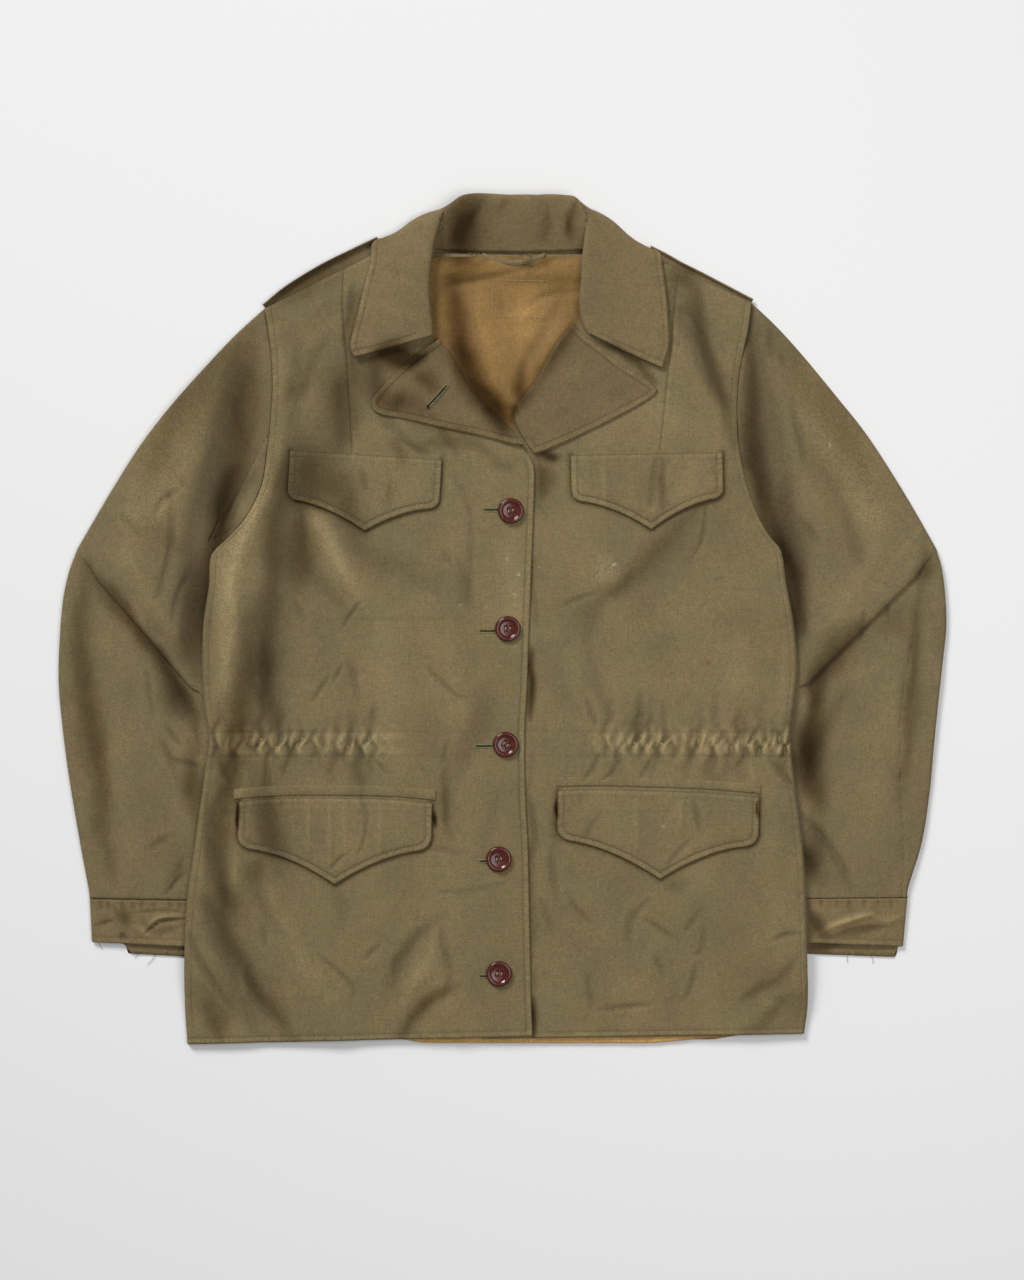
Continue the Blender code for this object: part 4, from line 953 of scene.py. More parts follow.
def front_detail(side, x, y):
    """What the creases, the gathers, the dart and the crumple add to a front's own height."""
    away, along, which = nearest(curve(DARTS[side]), x, y)
    seed = FRONT_SEEDS[side]
    relief = CREASE_DEPTH[side] * creases(CREASES[side], x, y, FINE_DEPTH) + gathers(side, x, y)
    relief = relief + crumple(x, y, seed) + seam_relief(away, along, which, seed + 5)
    for slot in BUTTONHOLES if side == "right" else []:
        relief = relief - SLOT_DIP * bell(nearest(curve(slot), x, y)[0], SLOT_DIP)
    return relief


def kept_above(z, floor, soft=0.35):
    """Heights kept over a floor, with a soft bend where they come near it."""
    return floor + soft * np.logaddexp(0.0, (z - floor) / soft)


def front_z(side, x, y):
    """Height of a front's outer face, which stays over the back and, in the lap, over the other front."""
    floor = np.maximum(support(x, y) + 2 * WALL + 0.2, UNDER_BODY + WALL + 0.3)
    z = kept_above(TOPS[side](x, y) + front_detail(side, x, y), floor)
    if side == "right":
        lapped = smooth((x - LAP_START_X) / LAP_SOFT_RUN)
        over = kept_above(z, front_z("left", x, y) + WALL + PATCH_GAP)
        z = np.where(lapped > 0, z * (1 - lapped) + over * lapped, z)
    return z


def section_rows(table, spacing):
    """Row numbers down a table of sections that are about the spacing apart at the rows' middles."""
    fine = np.linspace(0, len(table) - 1, ROW_SAMPLES)
    sections = spline(table, fine)
    middle = (sections[:, :2] + sections[:, 2:4]) / 2
    return np.interp(stations(lengths_along(middle), spacing(middle[:, 1])), lengths_along(middle), fine)


def front(side, finish):
    """A front: rows from shoulder to hem, columns from side to centre, rolled down at shoulder and side."""
    def spacing(y):
        return np.where(np.abs(y - WAIST_Y) < WAIST_FINE, WAIST_CELL, FRONT_CELL)

    rows = section_rows(FRONT_SECTIONS[side], spacing)
    sections = spline(FRONT_SECTIONS[side], rows)
    widest = np.hypot(*(sections[:, 2:4] - sections[:, :2]).T).max()
    run = np.linspace(0, widest, FRONT_SAMPLES)
    step = np.where(run < SIDE_FINE, SIDE_CELL, FRONT_CELL)
    share = stations(run, np.where(run > widest - CENTRE_FINE, CENTRE_CELL, step)) / widest
    start, end = sections[:, None, :2], sections[:, None, 2:4]
    xy = start + (end - start) * share[None, :, None]
    x, y = xy[..., 0], xy[..., 1]
    width = np.hypot(*(end - start)[:, 0].T)[:, None]
    from_side, from_centre = share[None] * width, (1 - share[None]) * width
    from_shoulder, from_hem = on_edges(x, y)

    # heights: the armhole's and the side's stitching, then the sewn edges
    top = front_z(side, x, y)
    below_arm = smooth((rows[:, None] - UNDERARM_ROW + 0.5) / 0.8)
    stitch_in = ARMHOLE_STITCH + (SIDE_STITCH - ARMHOLE_STITCH) * below_arm
    puckers = noise_along(y, 5.0, 41)
    top -= STITCH_GROOVE * bell(from_side - stitch_in, 1.0) * (1 + 0.4 * puckers)
    top += SIDE_PUCKER * puckers * bell(from_side, 7.0)
    top -= (1 - below_arm) * 0.5 * (1 - rolled(from_side, 1.6))
    edged = smooth(rows[:, None] - EDGED_FROM_ROW)
    sewn = edged * edge_relief(from_centre, y, 51) + edge_relief(from_hem, x, 52)
    top += sewn + HEM_WAVE * noise(x, y, 21, 60, 53) * np.exp(-from_hem / 16)
    top += HEM_LIFT * np.exp(-from_hem / 9)
    drop = np.maximum((1 - rolled(from_side)) * below_arm, 1 - rolled(from_shoulder))
    z = top + (support(x, y) + FRONT_SEAM_HEIGHT - top) * drop

    # paint: seams, edges, wear, and painted light and shade
    off_band = np.abs(np.abs(y - WAIST_Y) - BAND_HALF) + 0.95
    off_band = off_band + 9 * (np.abs(x) < min(map(abs, BAND_ENDS[side])))
    dart = nearest(curve(DARTS[side]), x, y)[0]
    distances = (dart, np.abs(from_side - stitch_in) + 0.5, from_side + 0.6, from_shoulder + 0.3, off_band)
    shade = np.clip(GATHER_SHADE * gathers(side, x, y), *GATHER_SHADE_ENDS) + flap_shade(side, x, y)
    shade = shade + painted_light(x, y, "body") + (painted_light(x, y, "left_front") if side == "left" else 0.0)
    paint = dict(
        seam_mm=np.minimum.reduce(distances),
        edge_mm=np.minimum(np.where(edged > 0.5, from_centre, 30), from_hem),
        stand=front_detail(side, x, y) + EDGE_SHOWS * sewn,
        rust=spots(RUST, x, y), rubbed=spots(RUBBED, x, y), painted_light=shade,
    )
    return shell(f"{side}_front_cloth", surface(x, y, z), WALL, paint, finish, flip=side == "right")


# ---------------------------------------------------------------- sleeves and cuffs

EDGE_TURN = np.radians([-90, -50, 0, 50])
UNDER_COLUMNS = [8, 7, 6, 5, 4, 3, 2, 1]
SLEEVE_CELL = 2.5
SLEEVE_COLUMNS = 156
SLEEVE_SAMPLES = 400
FOLD_PLACES = 46
SLEEVE_SEEDS = {"right": 61, "left": 71}
CROWN_RUN = 22.0

# How far a sleeve's ends dip into their seams
ARM_DIP = 0.7
CUFF_DIP = 0.5

# The elbow's fold: place along the plain sleeve, where the cloth goes instead, and its height there
PLEAT = [
    (-16, -16, 8.7), (-12, -10, 9.3), (-8, -4, 9.8), (-5, 0, 10.1), (-2.5, 3, 9.8), (-1, 4.6, 9.1),
    (0, 5.1, 8.3), (1, 4.4, 7.4), (2, 2, 7.0), (3, -2, 6.85), (4, -6, 6.8), (5, -7, 6.5), (6, -6, 6.3),
    (7, -2, 6.2), (8, 2, 6.2), (9, 6, 6.3), (11, 11, 6.4),
]
FOLD_ROW = 7

# How thick a sleeve lies under the body above the place where the body is lifted over it
UNDER_BODY = 2.8

# Below this height the inner part of a sleeve lies tucked under the body
TUCKED_BELOW_Y = 64.0

# How far a sleeve reaches under the front at the armhole, and how far its inner edge does below the underarm
SEAM_TUCK = 1.2
UNDERARM_TUCK = [0.0, 11.0, 11.0, 8.0, 4.0]


# Seams and a rubbed mark on the sleeves
SLEEVE_SEAMS = {
    "right": [
        [(-210, 170), (-232, 126), (-253, 83), (-259, 72)],
        [(-214, 163), (-238, 116), (-260, 73)],
        [(-260, 73), (-241, 84)],
    ],
    "left": [[(370, -10), (363, -48), (358, -85), (358, -152), (361, -200), (359.5, -250)]],
}
SLEEVE_RUBBED = [(295, 157, 2.2, 0.6)]


def armhole_line(side, count):
    """Shares along the straight line between the armhole's ends, and how far the seam bows out from it."""
    rows = spline(FRONT_SECTIONS[side], np.linspace(0, UNDERARM_ROW, count))[:, :2]
    chord = rows[-1] - rows[0]
    share = ((rows - rows[0]) @ chord) / (chord @ chord)
    run = unit(np.gradient(rows, axis=0))
    away = np.stack([run[:, 1], -run[:, 0]], 1) * -OUTWARD[side]
    return share, rows - (rows[0] + share[:, None] * chord) - away * SEAM_TUCK


def tube_ring(line, height, edge):
    """One ring of a flattened tube over a line across it: under layer, outer edge, top, inner edge."""
    radius = edge / 2
    first, last = unit(line[1] - line[0]), unit(line[-2] - line[-1])
    width = math.dist(line[0], line[-1])

    def turned(end, inward, angles):
        return [(*(end + inward * radius * (1 - math.cos(a))), radius * (1 + math.sin(a))) for a in angles]

    ring = [(*line[column], 0.0) for column in UNDER_COLUMNS] + turned(line[0], first, EDGE_TURN)
    for at in [line[0] + first * radius, *line[1:-1], line[-1] + last * radius]:
        q = np.clip(math.dist(at, line[0]), 0, width)
        crown = (1 - math.exp(-q / CROWN_RUN)) * (1 - math.exp(-(width - q) / CROWN_RUN))
        ring.append((*at, edge + (height - edge) * crown))
    return ring + turned(line[-1], last, EDGE_TURN[::-1])


def sleeve_rings(side):
    """The rings of a sleeve at its sections, without the fold of the elbow."""
    along, bow = armhole_line(side, UNDERARM_ROW + 1)
    spread = np.linspace(0, 1, UNDERARM_ROW + 1) ** 1.25
    fade = 1 - smooth((along - 0.7) / 0.25)[:, None]
    rings = []
    for k, section in enumerate(np.array(SLEEVE_SECTIONS[side], float)):
        share, bulge, tuck = (table[k] if k < len(table) else 0.0
                              for table in (SLEEVE_BOW, UNDERARM_BULGE, UNDERARM_TUCK))
        outer, inner = section[:2], section[2:4] - (OUTWARD[side] * tuck, 0)
        if k == 0:
            line = outer + (inner - outer) * along[:, None] + bow
        else:
            line = outer + (inner - outer) * spread[:, None] + bow * share * fade
            line[:, 0] += OUTWARD[side] * bulge * np.sin(math.pi * spread**2)
        rings.append(tube_ring(line, section[HEIGHT], SLEEVE_EDGE))
    return np.array(rings)


def closed_columns(ring, count):
    """Column numbers round a ring, evenly spaced, for a grid that joins its last column to its first."""
    length = lengths_along(np.concatenate([ring, ring[:1]]))
    return np.interp(np.linspace(0, length[-1], count + 1)[:-1], length, np.arange(len(ring) + 1))


def stack_spline(stack, at):
    """A stack of rows of points read at row numbers that need not be whole."""
    return spline(stack.reshape(len(stack), -1), at).reshape(len(at), *stack.shape[1:])


def ring_spline(rings, at):
    """The rings read at column numbers between their points, smoothly across the joint."""
    wrapped = np.concatenate([rings[:, -3:], rings, rings[:, :3]], axis=1)
    return stack_spline(wrapped.swapaxes(0, 1), at + 3).swapaxes(0, 1)


def folded(side, places, fold_at, x, y, z):
    """The places of a sleeve with its upper layer pushed along it into the elbow's fold."""
    table = np.array(PLEAT, float)
    shift = places - fold_at
    target = np.interp(shift, table[:, 0], table[:, 1]) - shift
    height = np.interp(shift, table[:, 0], table[:, 2])
    above, below = (np.array(SLEEVE_SECTIONS[side][FOLD_ROW + k][:4], float) for k in (-1, 2))
    down = unit((below[:2] - above[:2]) + (below[2:] - above[2:]))
    from_outer = (SLEEVE_SECTIONS[side][FOLD_ROW][OUTER_X] - x) * OUTWARD[side]
    clear = OUTWARD[side] * (x - side_x(side, y)) - 1.0
    fade = (z > SLEEVE_EDGE * 0.96) * smooth((from_outer - 6) / 16) * smooth(clear / 10)
    near = (np.abs(shift + 2.5) < 14)[:, None] * fade
    moved = target[:, None] * near
    return x + down[0] * moved, y + down[1] * moved, z + (height[:, None] - z) * near


def under_the_body(side, x, y, z, on_top):
    """Heights of a sleeve kept below the body where that lies over it, and never below the floor."""
    beside = OUTWARD[side] * (x - side_x(side, y))
    held = support(x, y) - LAY_GAP
    limit = np.maximum(held + np.maximum(beside - 3, 0) * 0.3, SLEEVE_EDGE)
    z = np.where(y < SLEEVE_LIFT_TOP - SLEEVE_LIFT_TOP_RUN, np.minimum(z, limit), z)
    z = np.where(on_top > 0.5, np.maximum(z, UNDER_BODY), z)
    tucked = (beside < -2) & (y < TUCKED_BELOW_Y)
    return np.maximum(np.where(tucked, np.minimum(z, np.maximum(held, UNDER_BODY)), z), 0.0)


def sleeve_places(lengths):
    """Where a sleeve has rows along it: close together at the elbow's fold, and right in number."""
    fold_at = lengths[FOLD_ROW]
    first, last = PLEAT[0][0], PLEAT[-1][0]
    even = np.full(SLEEVE_SAMPLES, SLEEVE_CELL)
    before = stations(np.linspace(0, fold_at + first, SLEEVE_SAMPLES), even, every=1)
    after = stations(np.linspace(fold_at + last, lengths[-1], SLEEVE_SAMPLES), even, every=1)[1:]
    places = np.concatenate([before, fold_at + np.linspace(first, last, FOLD_PLACES)[1:], after])
    spare = (len(places) - 1) % 3
    if spare:
        places = np.concatenate([places[:-1], np.linspace(places[-2], places[-1], 5 - spare)[1:]])
    return places


def sleeve(side, finish):
    """A sleeve as one flattened tube, its upper layer folded over itself at the elbow."""
    rings = sleeve_rings(side)
    lengths = lengths_along(rings.mean(axis=1)[:, :2])
    places = sleeve_places(lengths)
    rows = np.interp(places, lengths, np.arange(len(lengths)))
    upper = stack_spline(rings[:FOLD_ROW + 1], np.clip(rows, 0, FOLD_ROW))
    lower = stack_spline(rings[FOLD_ROW + 1:], np.clip(rows - FOLD_ROW - 1, 0, len(rings)))
    step = np.clip(rows - FOLD_ROW, 0, 1)[:, None, None]
    grid = ring_spline(upper * (1 - step) + lower * step, closed_columns(rings[FOLD_ROW], SLEEVE_COLUMNS))
    on_top = smooth((grid[..., 2] - 3.2) / 1.6)
    x, y, z = folded(side, places, lengths[FOLD_ROW], grid[..., 0], grid[..., 1], grid[..., 2])

    seed = SLEEVE_SEEDS[side]
    detail = SLEEVE_CREASE_DEPTH * creases(SLEEVE_CREASES[side], x, y, FINE_DEPTH)
    detail = detail + 0.9 * crumple(x, y, seed)
    from_arm, from_cuff = on_edges(x, y)
    calm = bell(places - lengths[FOLD_ROW], 9.0)[:, None]
    dips = ARM_DIP * (1 - rolled(from_arm, 2.6)) + CUFF_DIP * (1 - rolled(from_cuff, 1.8))
    ribs = 0.35 * noise_along(x, 5.0, seed + 4) * np.exp(-from_cuff / 7)
    z = under_the_body(side, x, y, z + on_top * (detail * (1 - 0.8 * calm) - dips + ribs), on_top)
    seam = np.minimum(from_arm + 0.55, from_cuff + 0.3)
    for path in SLEEVE_SEAMS[side]:
        away, along, which = nearest(curve(path), x, y)
        seam = np.where(on_top > 0.5, np.minimum(seam, away), seam)
        z = z + on_top * seam_relief(away, along, which, seed + 6)
    paint = dict(seam_mm=seam, stand=detail * on_top, rubbed=spots(SLEEVE_RUBBED, x, y),
                 painted_light=painted_light(x, y, f"{side}_sleeve"))
    return tube(f"{side}_sleeve_cloth", surface(x, y, z), paint, finish, side)


def tube(name, grid, paint, finish, side):
    """A closed shell of one wall, turned the right way out for its side."""
    return shell(name, grid, WALL, paint, finish, closed=True, flip=side == "right", straight=False)


def cuff(side, finish):
    """A cuff: a short flattened tube whose under layer shows past the upper one, with a sewn lower edge."""
    c = {key: np.array(value, float) for key, value in CUFFS[side].items()}
    along = np.linspace(0, 1, 10)[:, None]
    shares = np.linspace(0, 1, CUFF_ROWS)
    rings = []
    for t in shares:
        outer = c["outer"] + (c["outer_end"] - c["outer"]) * t
        inner = c["inner"] + (c["inner_end"] - c["inner"]) * t
        rings.append(tube_ring(outer + (inner - outer) * along, CUFF_HEIGHT, CUFF_EDGE))
    rings = np.array(rings)
    grid = ring_spline(rings, closed_columns(rings[-1], CUFF_COLUMNS))
    x, y, z = grid[..., 0], grid[..., 1], grid[..., 2]
    low, high = sorted((c["under_from"], c["under_to"]))
    inside = smooth((x - low) / 2.5) * smooth((high - x) / 2.5)
    y = y - c["under_reach"] * (z < 0.5) * inside * shares[:, None]
    on_top = smooth((z - 2.8) / 1.5)
    depth = abs(c["outer_end"][1] - c["outer"][1])
    from_end, from_seam = ((share[:, None] * depth + 0 * x) for share in (1 - shares, shares))
    seed = CUFF_SEEDS[side]
    detail = creases(CUFF_CREASES[side], x, y, 1.5) + 0.7 * crumple(x, y, seed)
    lip = 0.35 * bell(from_seam - 1.4, 1.2) + 0.45 * noise_along(x, 4.6, seed + 2) * np.exp(-from_seam / 6)
    z = np.maximum(z + on_top * (detail + edge_relief(from_end, x, seed) + lip), 0.0)
    seam = np.minimum(from_seam + 0.3, np.abs(from_seam - 3.2) + 0.8)
    paint = dict(seam_mm=seam, edge_mm=from_end, stand=detail * on_top, painted_light=painted_light(x, y, f"{side}_sleeve"))
    return tube(f"{side}_cuff_cloth", surface(x, y, z), paint, finish, side)


# ---------------------------------------------------------------- collar, lapels and straps


# The collar's rows and columns, and how far its roll line is rounded off
COLLAR_ROWS = 271
COLLAR_COLUMNS = 73
ROLL_REACH = 3.4
ROLL_DROP = 2.0


def collar_profile(section):
    """One section of the collar: up the stand, round the roll line and out over the fall."""
    neck, roll, middle, edge = (np.array(section[k:k + 3], float) for k in (0, 3, 6, 9))
    tip = 2.6 * section[12]
    to_neck, to_fall = (unit((end - roll) * (1, 1, 0)) for end in (neck, middle))
    before = roll + to_neck * ROLL_REACH - (0, 0, ROLL_DROP + tip)
    after = roll + to_fall * ROLL_REACH - (0, 0, ROLL_DROP - tip)
    return np.array([neck, (neck + before) / 2 + (0, 0, 0.8), before, roll - (0, 0, ROLL_DROP), after,
                     (after + middle) / 2, middle, (middle + edge) / 2, edge])


COLLAR_CREASES = [
    # On the fall, in millimetres from the neck's right end round to the left one, and from the neck outwards
    (5, -0.5, 52, 18, 70, 62), (6, 0.5, 20, 30, 36, 66), (5, -0.5, 95, 20, 110, 44),
    (5, -0.6, 235, 22, 222, 60), (6, 0.5, 262, 26, 270, 70), (5, -0.4, 150, 6, 168, 30),
]


def collar(finish):
    """The collar as one band round the neck, with sewn edges and a soft unevenness."""
    profiles = np.array([collar_profile(section) for section in COLLAR_SECTIONS])
    controls = stack_spline(profiles, np.linspace(0, len(COLLAR_SECTIONS) - 1, COLLAR_ROWS))
    columns = np.linspace(0, profiles.shape[1] - 1, COLLAR_COLUMNS)
    grid = stack_spline(controls.swapaxes(0, 1), columns).swapaxes(0, 1)
    step = np.linalg.norm(np.diff(grid, axis=1), axis=2)[:, ::-1]
    from_edge = np.concatenate([np.cumsum(step, axis=1)[:, ::-1], np.zeros((COLLAR_ROWS, 1))], axis=1)
    along = lengths_along(grid[:, 50])[:, None] + 0 * from_edge
    step = np.linalg.norm(np.diff(grid, axis=0), axis=2)
    from_first = np.concatenate([np.zeros((1, COLLAR_COLUMNS)), np.cumsum(step, axis=0)])
    from_ends = np.minimum(from_first, from_first[-1:] - from_first)
    from_neck = from_edge[:, :1] - from_edge
    detail = 0.55 * crumple(along, from_neck, 101) + creases(COLLAR_CREASES, along, from_neck)
    fall = smooth((from_neck - 26) / 10)
    relief = edge_relief(from_edge, along, 103) + edge_relief(from_ends, from_edge, 104) * fall
    grid = grid - normals(grid, False) * (COLLAR_WALL / 2 + detail + relief * 1.15)[..., None]
    paint = dict(
        edge_mm=np.minimum(from_edge, np.where(fall > 0.5, from_ends, 30)), seam_mm=from_neck + 0.3,
        stand=detail + EDGE_SHOWS * relief, painted_light=painted_light(grid[..., 0], grid[..., 1], "body"),
    )
    return shell("collar_cloth", grid, COLLAR_WALL, paint, finish, flip=True, straight=False, every=2)


LAPEL_CREASES = {
    "right": [
        (6, -0.5, -100, 205, -76, 190), (8, 0.6, -60, 226, -30, 196), (5, -0.5, -52, 182, -30, 176),
    ],
    "left": [
        (6, -0.5, 118, 212, 96, 196), (8, 0.6, 76, 236, 52, 206), (5, -0.5, 60, 190, 40, 176),
    ],
}
LAPEL_TONE = -0.07
LAPEL_TURN = np.radians([-60, -45, -30, -10, 10, 35, 60, 80])
LAPEL_SEEDS = {"right": 113, "left": 114}

# The bound slot in the right lapel, from its upper to its lower end
BUTTONHOLE_LINE = [(-50.5, 210), (-67, 192)]


def lapel_height(distance):
    """Height of a lapel over the front it lies on: high at the roll, settling towards its edge."""
    return LAY_GAP + DOUBLE_WALL / 2 + 3.0 * np.exp(-distance / 20)


def lapel(side, finish):
    """A lapel turned back at the roll line and lying on its front, its outer edge sewn and puckered."""
    table = LAPEL_SECTIONS[side]
    sections = spline(table, np.linspace(0, len(table) - 1, 121))
    roll, edge = sections[:, None, :2], sections[:, None, 2:4]
    width = np.hypot(*(edge - roll)[:, 0].T)[:, None]
    radius = np.minimum(LAPEL_ROLL, width / 4)
    flat = np.linspace(0, 1, 66)[1:]
    q = np.concatenate([radius * (1 - np.cos(LAPEL_TURN)), radius + (width - radius) * flat], axis=1)
    rise = np.concatenate([radius * (np.sin(LAPEL_TURN) - 1), 0 * radius * flat], axis=1)
    xy = roll + (edge - roll) / width[..., None] * q[..., None]
    x, y = xy[..., 0], xy[..., 1]
    outline = np.concatenate([sections[:1, :2], sections[:, 2:4], sections[-1:, :2]])
    away, along, _ = nearest(outline, x, y)
    detail = creases(LAPEL_CREASES[side], x, y) + 0.5 * crumple(x, y, 111)
    relief = edge_relief(away, along, LAPEL_SEEDS[side])
    settled = front_z(side, x, y) - 0.4 * front_detail(side, x, y)
    z = settled + lapel_height(q) + DOUBLE_WALL / 2 + rise + detail + relief
    if side == "right":
        slot = nearest(BUTTONHOLE_LINE, x, y)[0]
        z = z + 0.45 * bell(slot - 1.6, 0.9) - bell(slot, 0.6)
    paint = dict(edge_mm=away, stand=detail + EDGE_SHOWS * relief, painted_light=painted_light(x, y, "body") + LAPEL_TONE)
    return shell(f"{side}_lapel_cloth", surface(x, y, z), DOUBLE_WALL, paint, finish, flip=side == "right")


# Across a strap: how far past the shoulder line, and how high
STRAP_PROFILE = [
    (-STRAP_WIDTH, 0.8), (-18, 0.8), (-7, 0.8), (-3.2, 1.0), (-1.4, 1.9), (-0.8, 3.4), (-0.8, 5.0),
]


def shoulder_strap(side, finish):
    """A shoulder strap under the back's shoulder line, its edge turned up past it."""
    line = spline(STRAP_EDGES[side], np.linspace(0, len(STRAP_EDGES[side]) - 1, 91))
    along = unit(np.gradient(line, axis=0))
    outward = np.stack([-along[:, 1], along[:, 0]], 1)
    outward *= np.sign(outward[:, 1])[:, None]
    profile = spline(STRAP_PROFILE, np.linspace(0, len(STRAP_PROFILE) - 1, 37))
    xy = line[:, None] + outward[:, None] * profile[None, :, :1]
    length = lengths_along(line)[:, None]
    z = profile[None, :, 1] + 0.25 * noise_along(length, 5, 121) + 0 * xy[..., 0]
    grid = surface(xy[..., 0], xy[..., 1], z)
    grid = grid + normals(grid, False) * (DOUBLE_WALL / 2) * OUTWARD[side]
    paint = dict(seam_mm=np.abs(grid[..., 2] - 3.2) + 0.6, painted_light=painted_light(grid[..., 0], grid[..., 1], "body"))
    name = f"{side}_strap_cloth"
    return shell(name, grid, DOUBLE_WALL, paint, finish, flip=side == "right", straight=False)


# ---------------------------------------------------------------- pockets

FLAP_CELL = 1.25
FLAP_FINE_CELL, FLAP_FINE = 0.5, 4.0
FLAP_SAMPLES = 800

# How much darker a front is at the edges of its flaps, and how far that reaches
FLAP_SHADE = -0.26
FLAP_SHADE_REACH = 3.0

# How far a hip welt sinks into its front
WELT_SINK = 1.45


def flap_depth(share, flap, width):
    """Depth of a flap's lower edge below its sewn edge: square sides, round corners and a point."""
    where, corner = flap["where"], flap["corner"]
    from_point = np.where(share < where, (where - share) / where, (share - where) / (1 - where))
    depth = flap["side"] + (flap["point"] - flap["side"]) * (1 - from_point) ** FLAP_POINT_POWER
    short = np.clip(corner - np.minimum(share, 1 - share) * width, 0, corner)
    return depth - (corner - np.sqrt(np.maximum(corner**2 - short**2, 0)))


def hung_from(start, end):
    """Two ends of a sewn line as arrays, and the direction square to it and downwards."""
    start, end = np.array(start, float), np.array(end, float)
    along = unit(end - start)
    return start, end, np.array([along[1], -along[0]])


def flap_line(flap, count):
    """A flap's outline without its bow, from one end of the sewn edge down and round to the other."""
    start, end, down = hung_from(flap["start"], flap["end"])
    shares = np.linspace(0, 1, count)[:, None]
    line = start + (end - start) * shares + down * flap_depth(shares, flap, math.dist(start, end))
    return np.concatenate([[start], line, [end]])


def patch(side, start, end, depths, shares, rows, bow, straighten=1.0):
    """Places of a patch that hangs from a sewn line on a front, and the height of the front under them. The
    line may bow upwards; straighten says by how much less its lower edge does."""
    start, end, down = hung_from(start, end)
    risen = bow * (1 - np.abs(2 * shares[None] - 1) ** 3) * (1 - straighten * rows[:, None])
    fall = rows[:, None] * depths[None] - risen
    xy = start + (end - start) * shares[None, :, None] + down * fall[..., None]
    return xy[..., 0], xy[..., 1], front_z(side, xy[..., 0], xy[..., 1])


def flap_shade(side, x, y):
    """How much darker a front is close to the edges of its flaps."""
    shade = np.zeros(np.shape(x))
    for name, flap in FLAPS.items():
        if name.startswith(side):
            line = flap_line(flap, 90)
            near = boxed(line, x, y, 8.0)
            away = nearest(line, x[near], y[near])[0]
            shade[near] = np.minimum(shade[near], FLAP_SHADE * bell(away, FLAP_SHADE_REACH))
    return shade


def pocket_flap(name, flap, finish):
    """A flap over its pocket: sewn and ribbed along its top, its other edges stitched and puckered."""
    side = name.split("_")[0]
    width = math.dist(flap["start"], flap["end"])
    run = np.linspace(0, width, FLAP_SAMPLES)
    step = np.where(np.minimum(run, width - run) < FLAP_FINE, FLAP_FINE_CELL, FLAP_CELL)
    shares = stations(run, step) / width
    depths = flap_depth(shares, flap, width)
    rows = np.linspace(0, 1, 3 * round(flap["point"] / FLAP_CELL / 3) + 1)
    x, y, under = patch(side, flap["start"], flap["end"], depths, shares, rows, flap["bow"])
    outline = np.stack([x[-1], y[-1]], axis=1)
    outline = np.concatenate([[flap["start"]], outline[::2], outline[-1:], [flap["end"]]])
    away, along, _ = nearest(outline, x, y)
    from_top = rows[:, None] * depths[None]
    seed = int(abs(flap["start"][0]))
    ribs = ribs_along(x, seed)
    detail = 0.55 * crumple(x, y, seed + 2)
    body = 0.9 * smooth(from_top / 9) * smooth(away / 12) + 0.45 * ribs * np.exp(-from_top / 7)
    body = body + 0.5 * bell(from_top - 3.4, 1.8) - 0.5 * bell(from_top, 1.2)
    curl = 0.35 * (1 + noise_along(along, 26, seed + 5)) * np.exp(-away / 9) * smooth(from_top / 20)
    relief = edge_relief(away, along, seed + 3)
    z = under + PATCH_GAP + DOUBLE_WALL + body + detail + curl + relief
    stand = detail + 0.7 * front_detail(side, x, y) + EDGE_SHOWS * relief
    stand = stand + 1.5 * ribs * np.exp(-from_top / 4.5)
    paint = dict(edge_mm=away, seam_mm=np.minimum(np.abs(from_top - 6.2) + 0.6, from_top), stand=stand,
                 rubbed=spots(RUBBED, x, y), painted_light=painted_light(x, y, "body"))
    return shell(f"{name}_cloth", surface(x, y, z), DOUBLE_WALL, paint, finish, flip=True)


def pocket_welt(name, welt, finish):
    """The narrow band over a hip flap, ribbed where it is sewn down."""
    side = name.split("_")[0]
    start, end = (np.array(welt[key], float) + (0, welt["rise"]) for key in ("start", "end"))
    shares = np.linspace(0, 1, 151)
    depth = welt["rise"] + 2.5
    rows = np.linspace(0, 1, 10)
    x, y, under = patch(side, start, end, np.full(len(shares), depth), shares, rows, welt["bow"], 0.0)
    from_top = rows[:, None] * depth + 0 * x
    crown = 0.45 * np.sin(math.pi * np.clip(from_top / depth, 0, 1)) ** 0.6
    ribs = 0.4 * noise_along(x, 6.0, 131)
    z = under + PATCH_GAP + WALL + crown - WELT_SINK + ribs * (0.4 + 0.6 * crown)
    seam = np.minimum(np.abs(from_top - 1.4), np.abs(from_top - depth + 2.0)) + 0.6
    paint = dict(seam_mm=seam, stand=ribs + 0.6 * front_detail(side, x, y))
    return shell(f"{name}_cloth", surface(x, y, z), WALL, paint, finish, flip=True)


# ---------------------------------------------------------------- back, lining and hanger loop


BACK_CELL = 6.0


def back_piece(finish):
    """The back from the shoulders and neck to the hem, lying on what is under it."""
    top_line, hem = np.array(BACK_TOP_LINE, float), np.array(BACK_HEM, float)
    rows = section_rows(FRONT_SECTIONS["right"], lambda y: np.full(len(y), BACK_CELL))
    start, end = (spline(FRONT_SECTIONS[side], rows)[:, None, :2] for side in ("right", "left"))
    shares = np.linspace(0, 1, 91)
    xy = start + (end - start) * shares[None, :, None]
    x, y = xy[..., 0], xy[..., 1]
    over = np.interp(x[0], top_line[:, 0], top_line[:, 1])
    over = over - top_line[0, 1] - (top_line[-1, 1] - top_line[0, 1]) * shares
    y = y + over * (1 - smooth(rows[:, None] / 5))
    y = y + (np.interp(x[-1], hem[:, 0], hem[:, 1]) - y[-1:]) * smooth((rows[:, None] - 20.5) / 1.5)
    # The back's hem is painted lighter where it shows below the fronts: a painted highlight against their
    # shade
    paint = dict(painted_light=0.24 * smooth((-360 - y) / 8))
    return shell("back_cloth", surface(x, y, support(x, y) + WALL), WALL, paint, finish, flip=True)


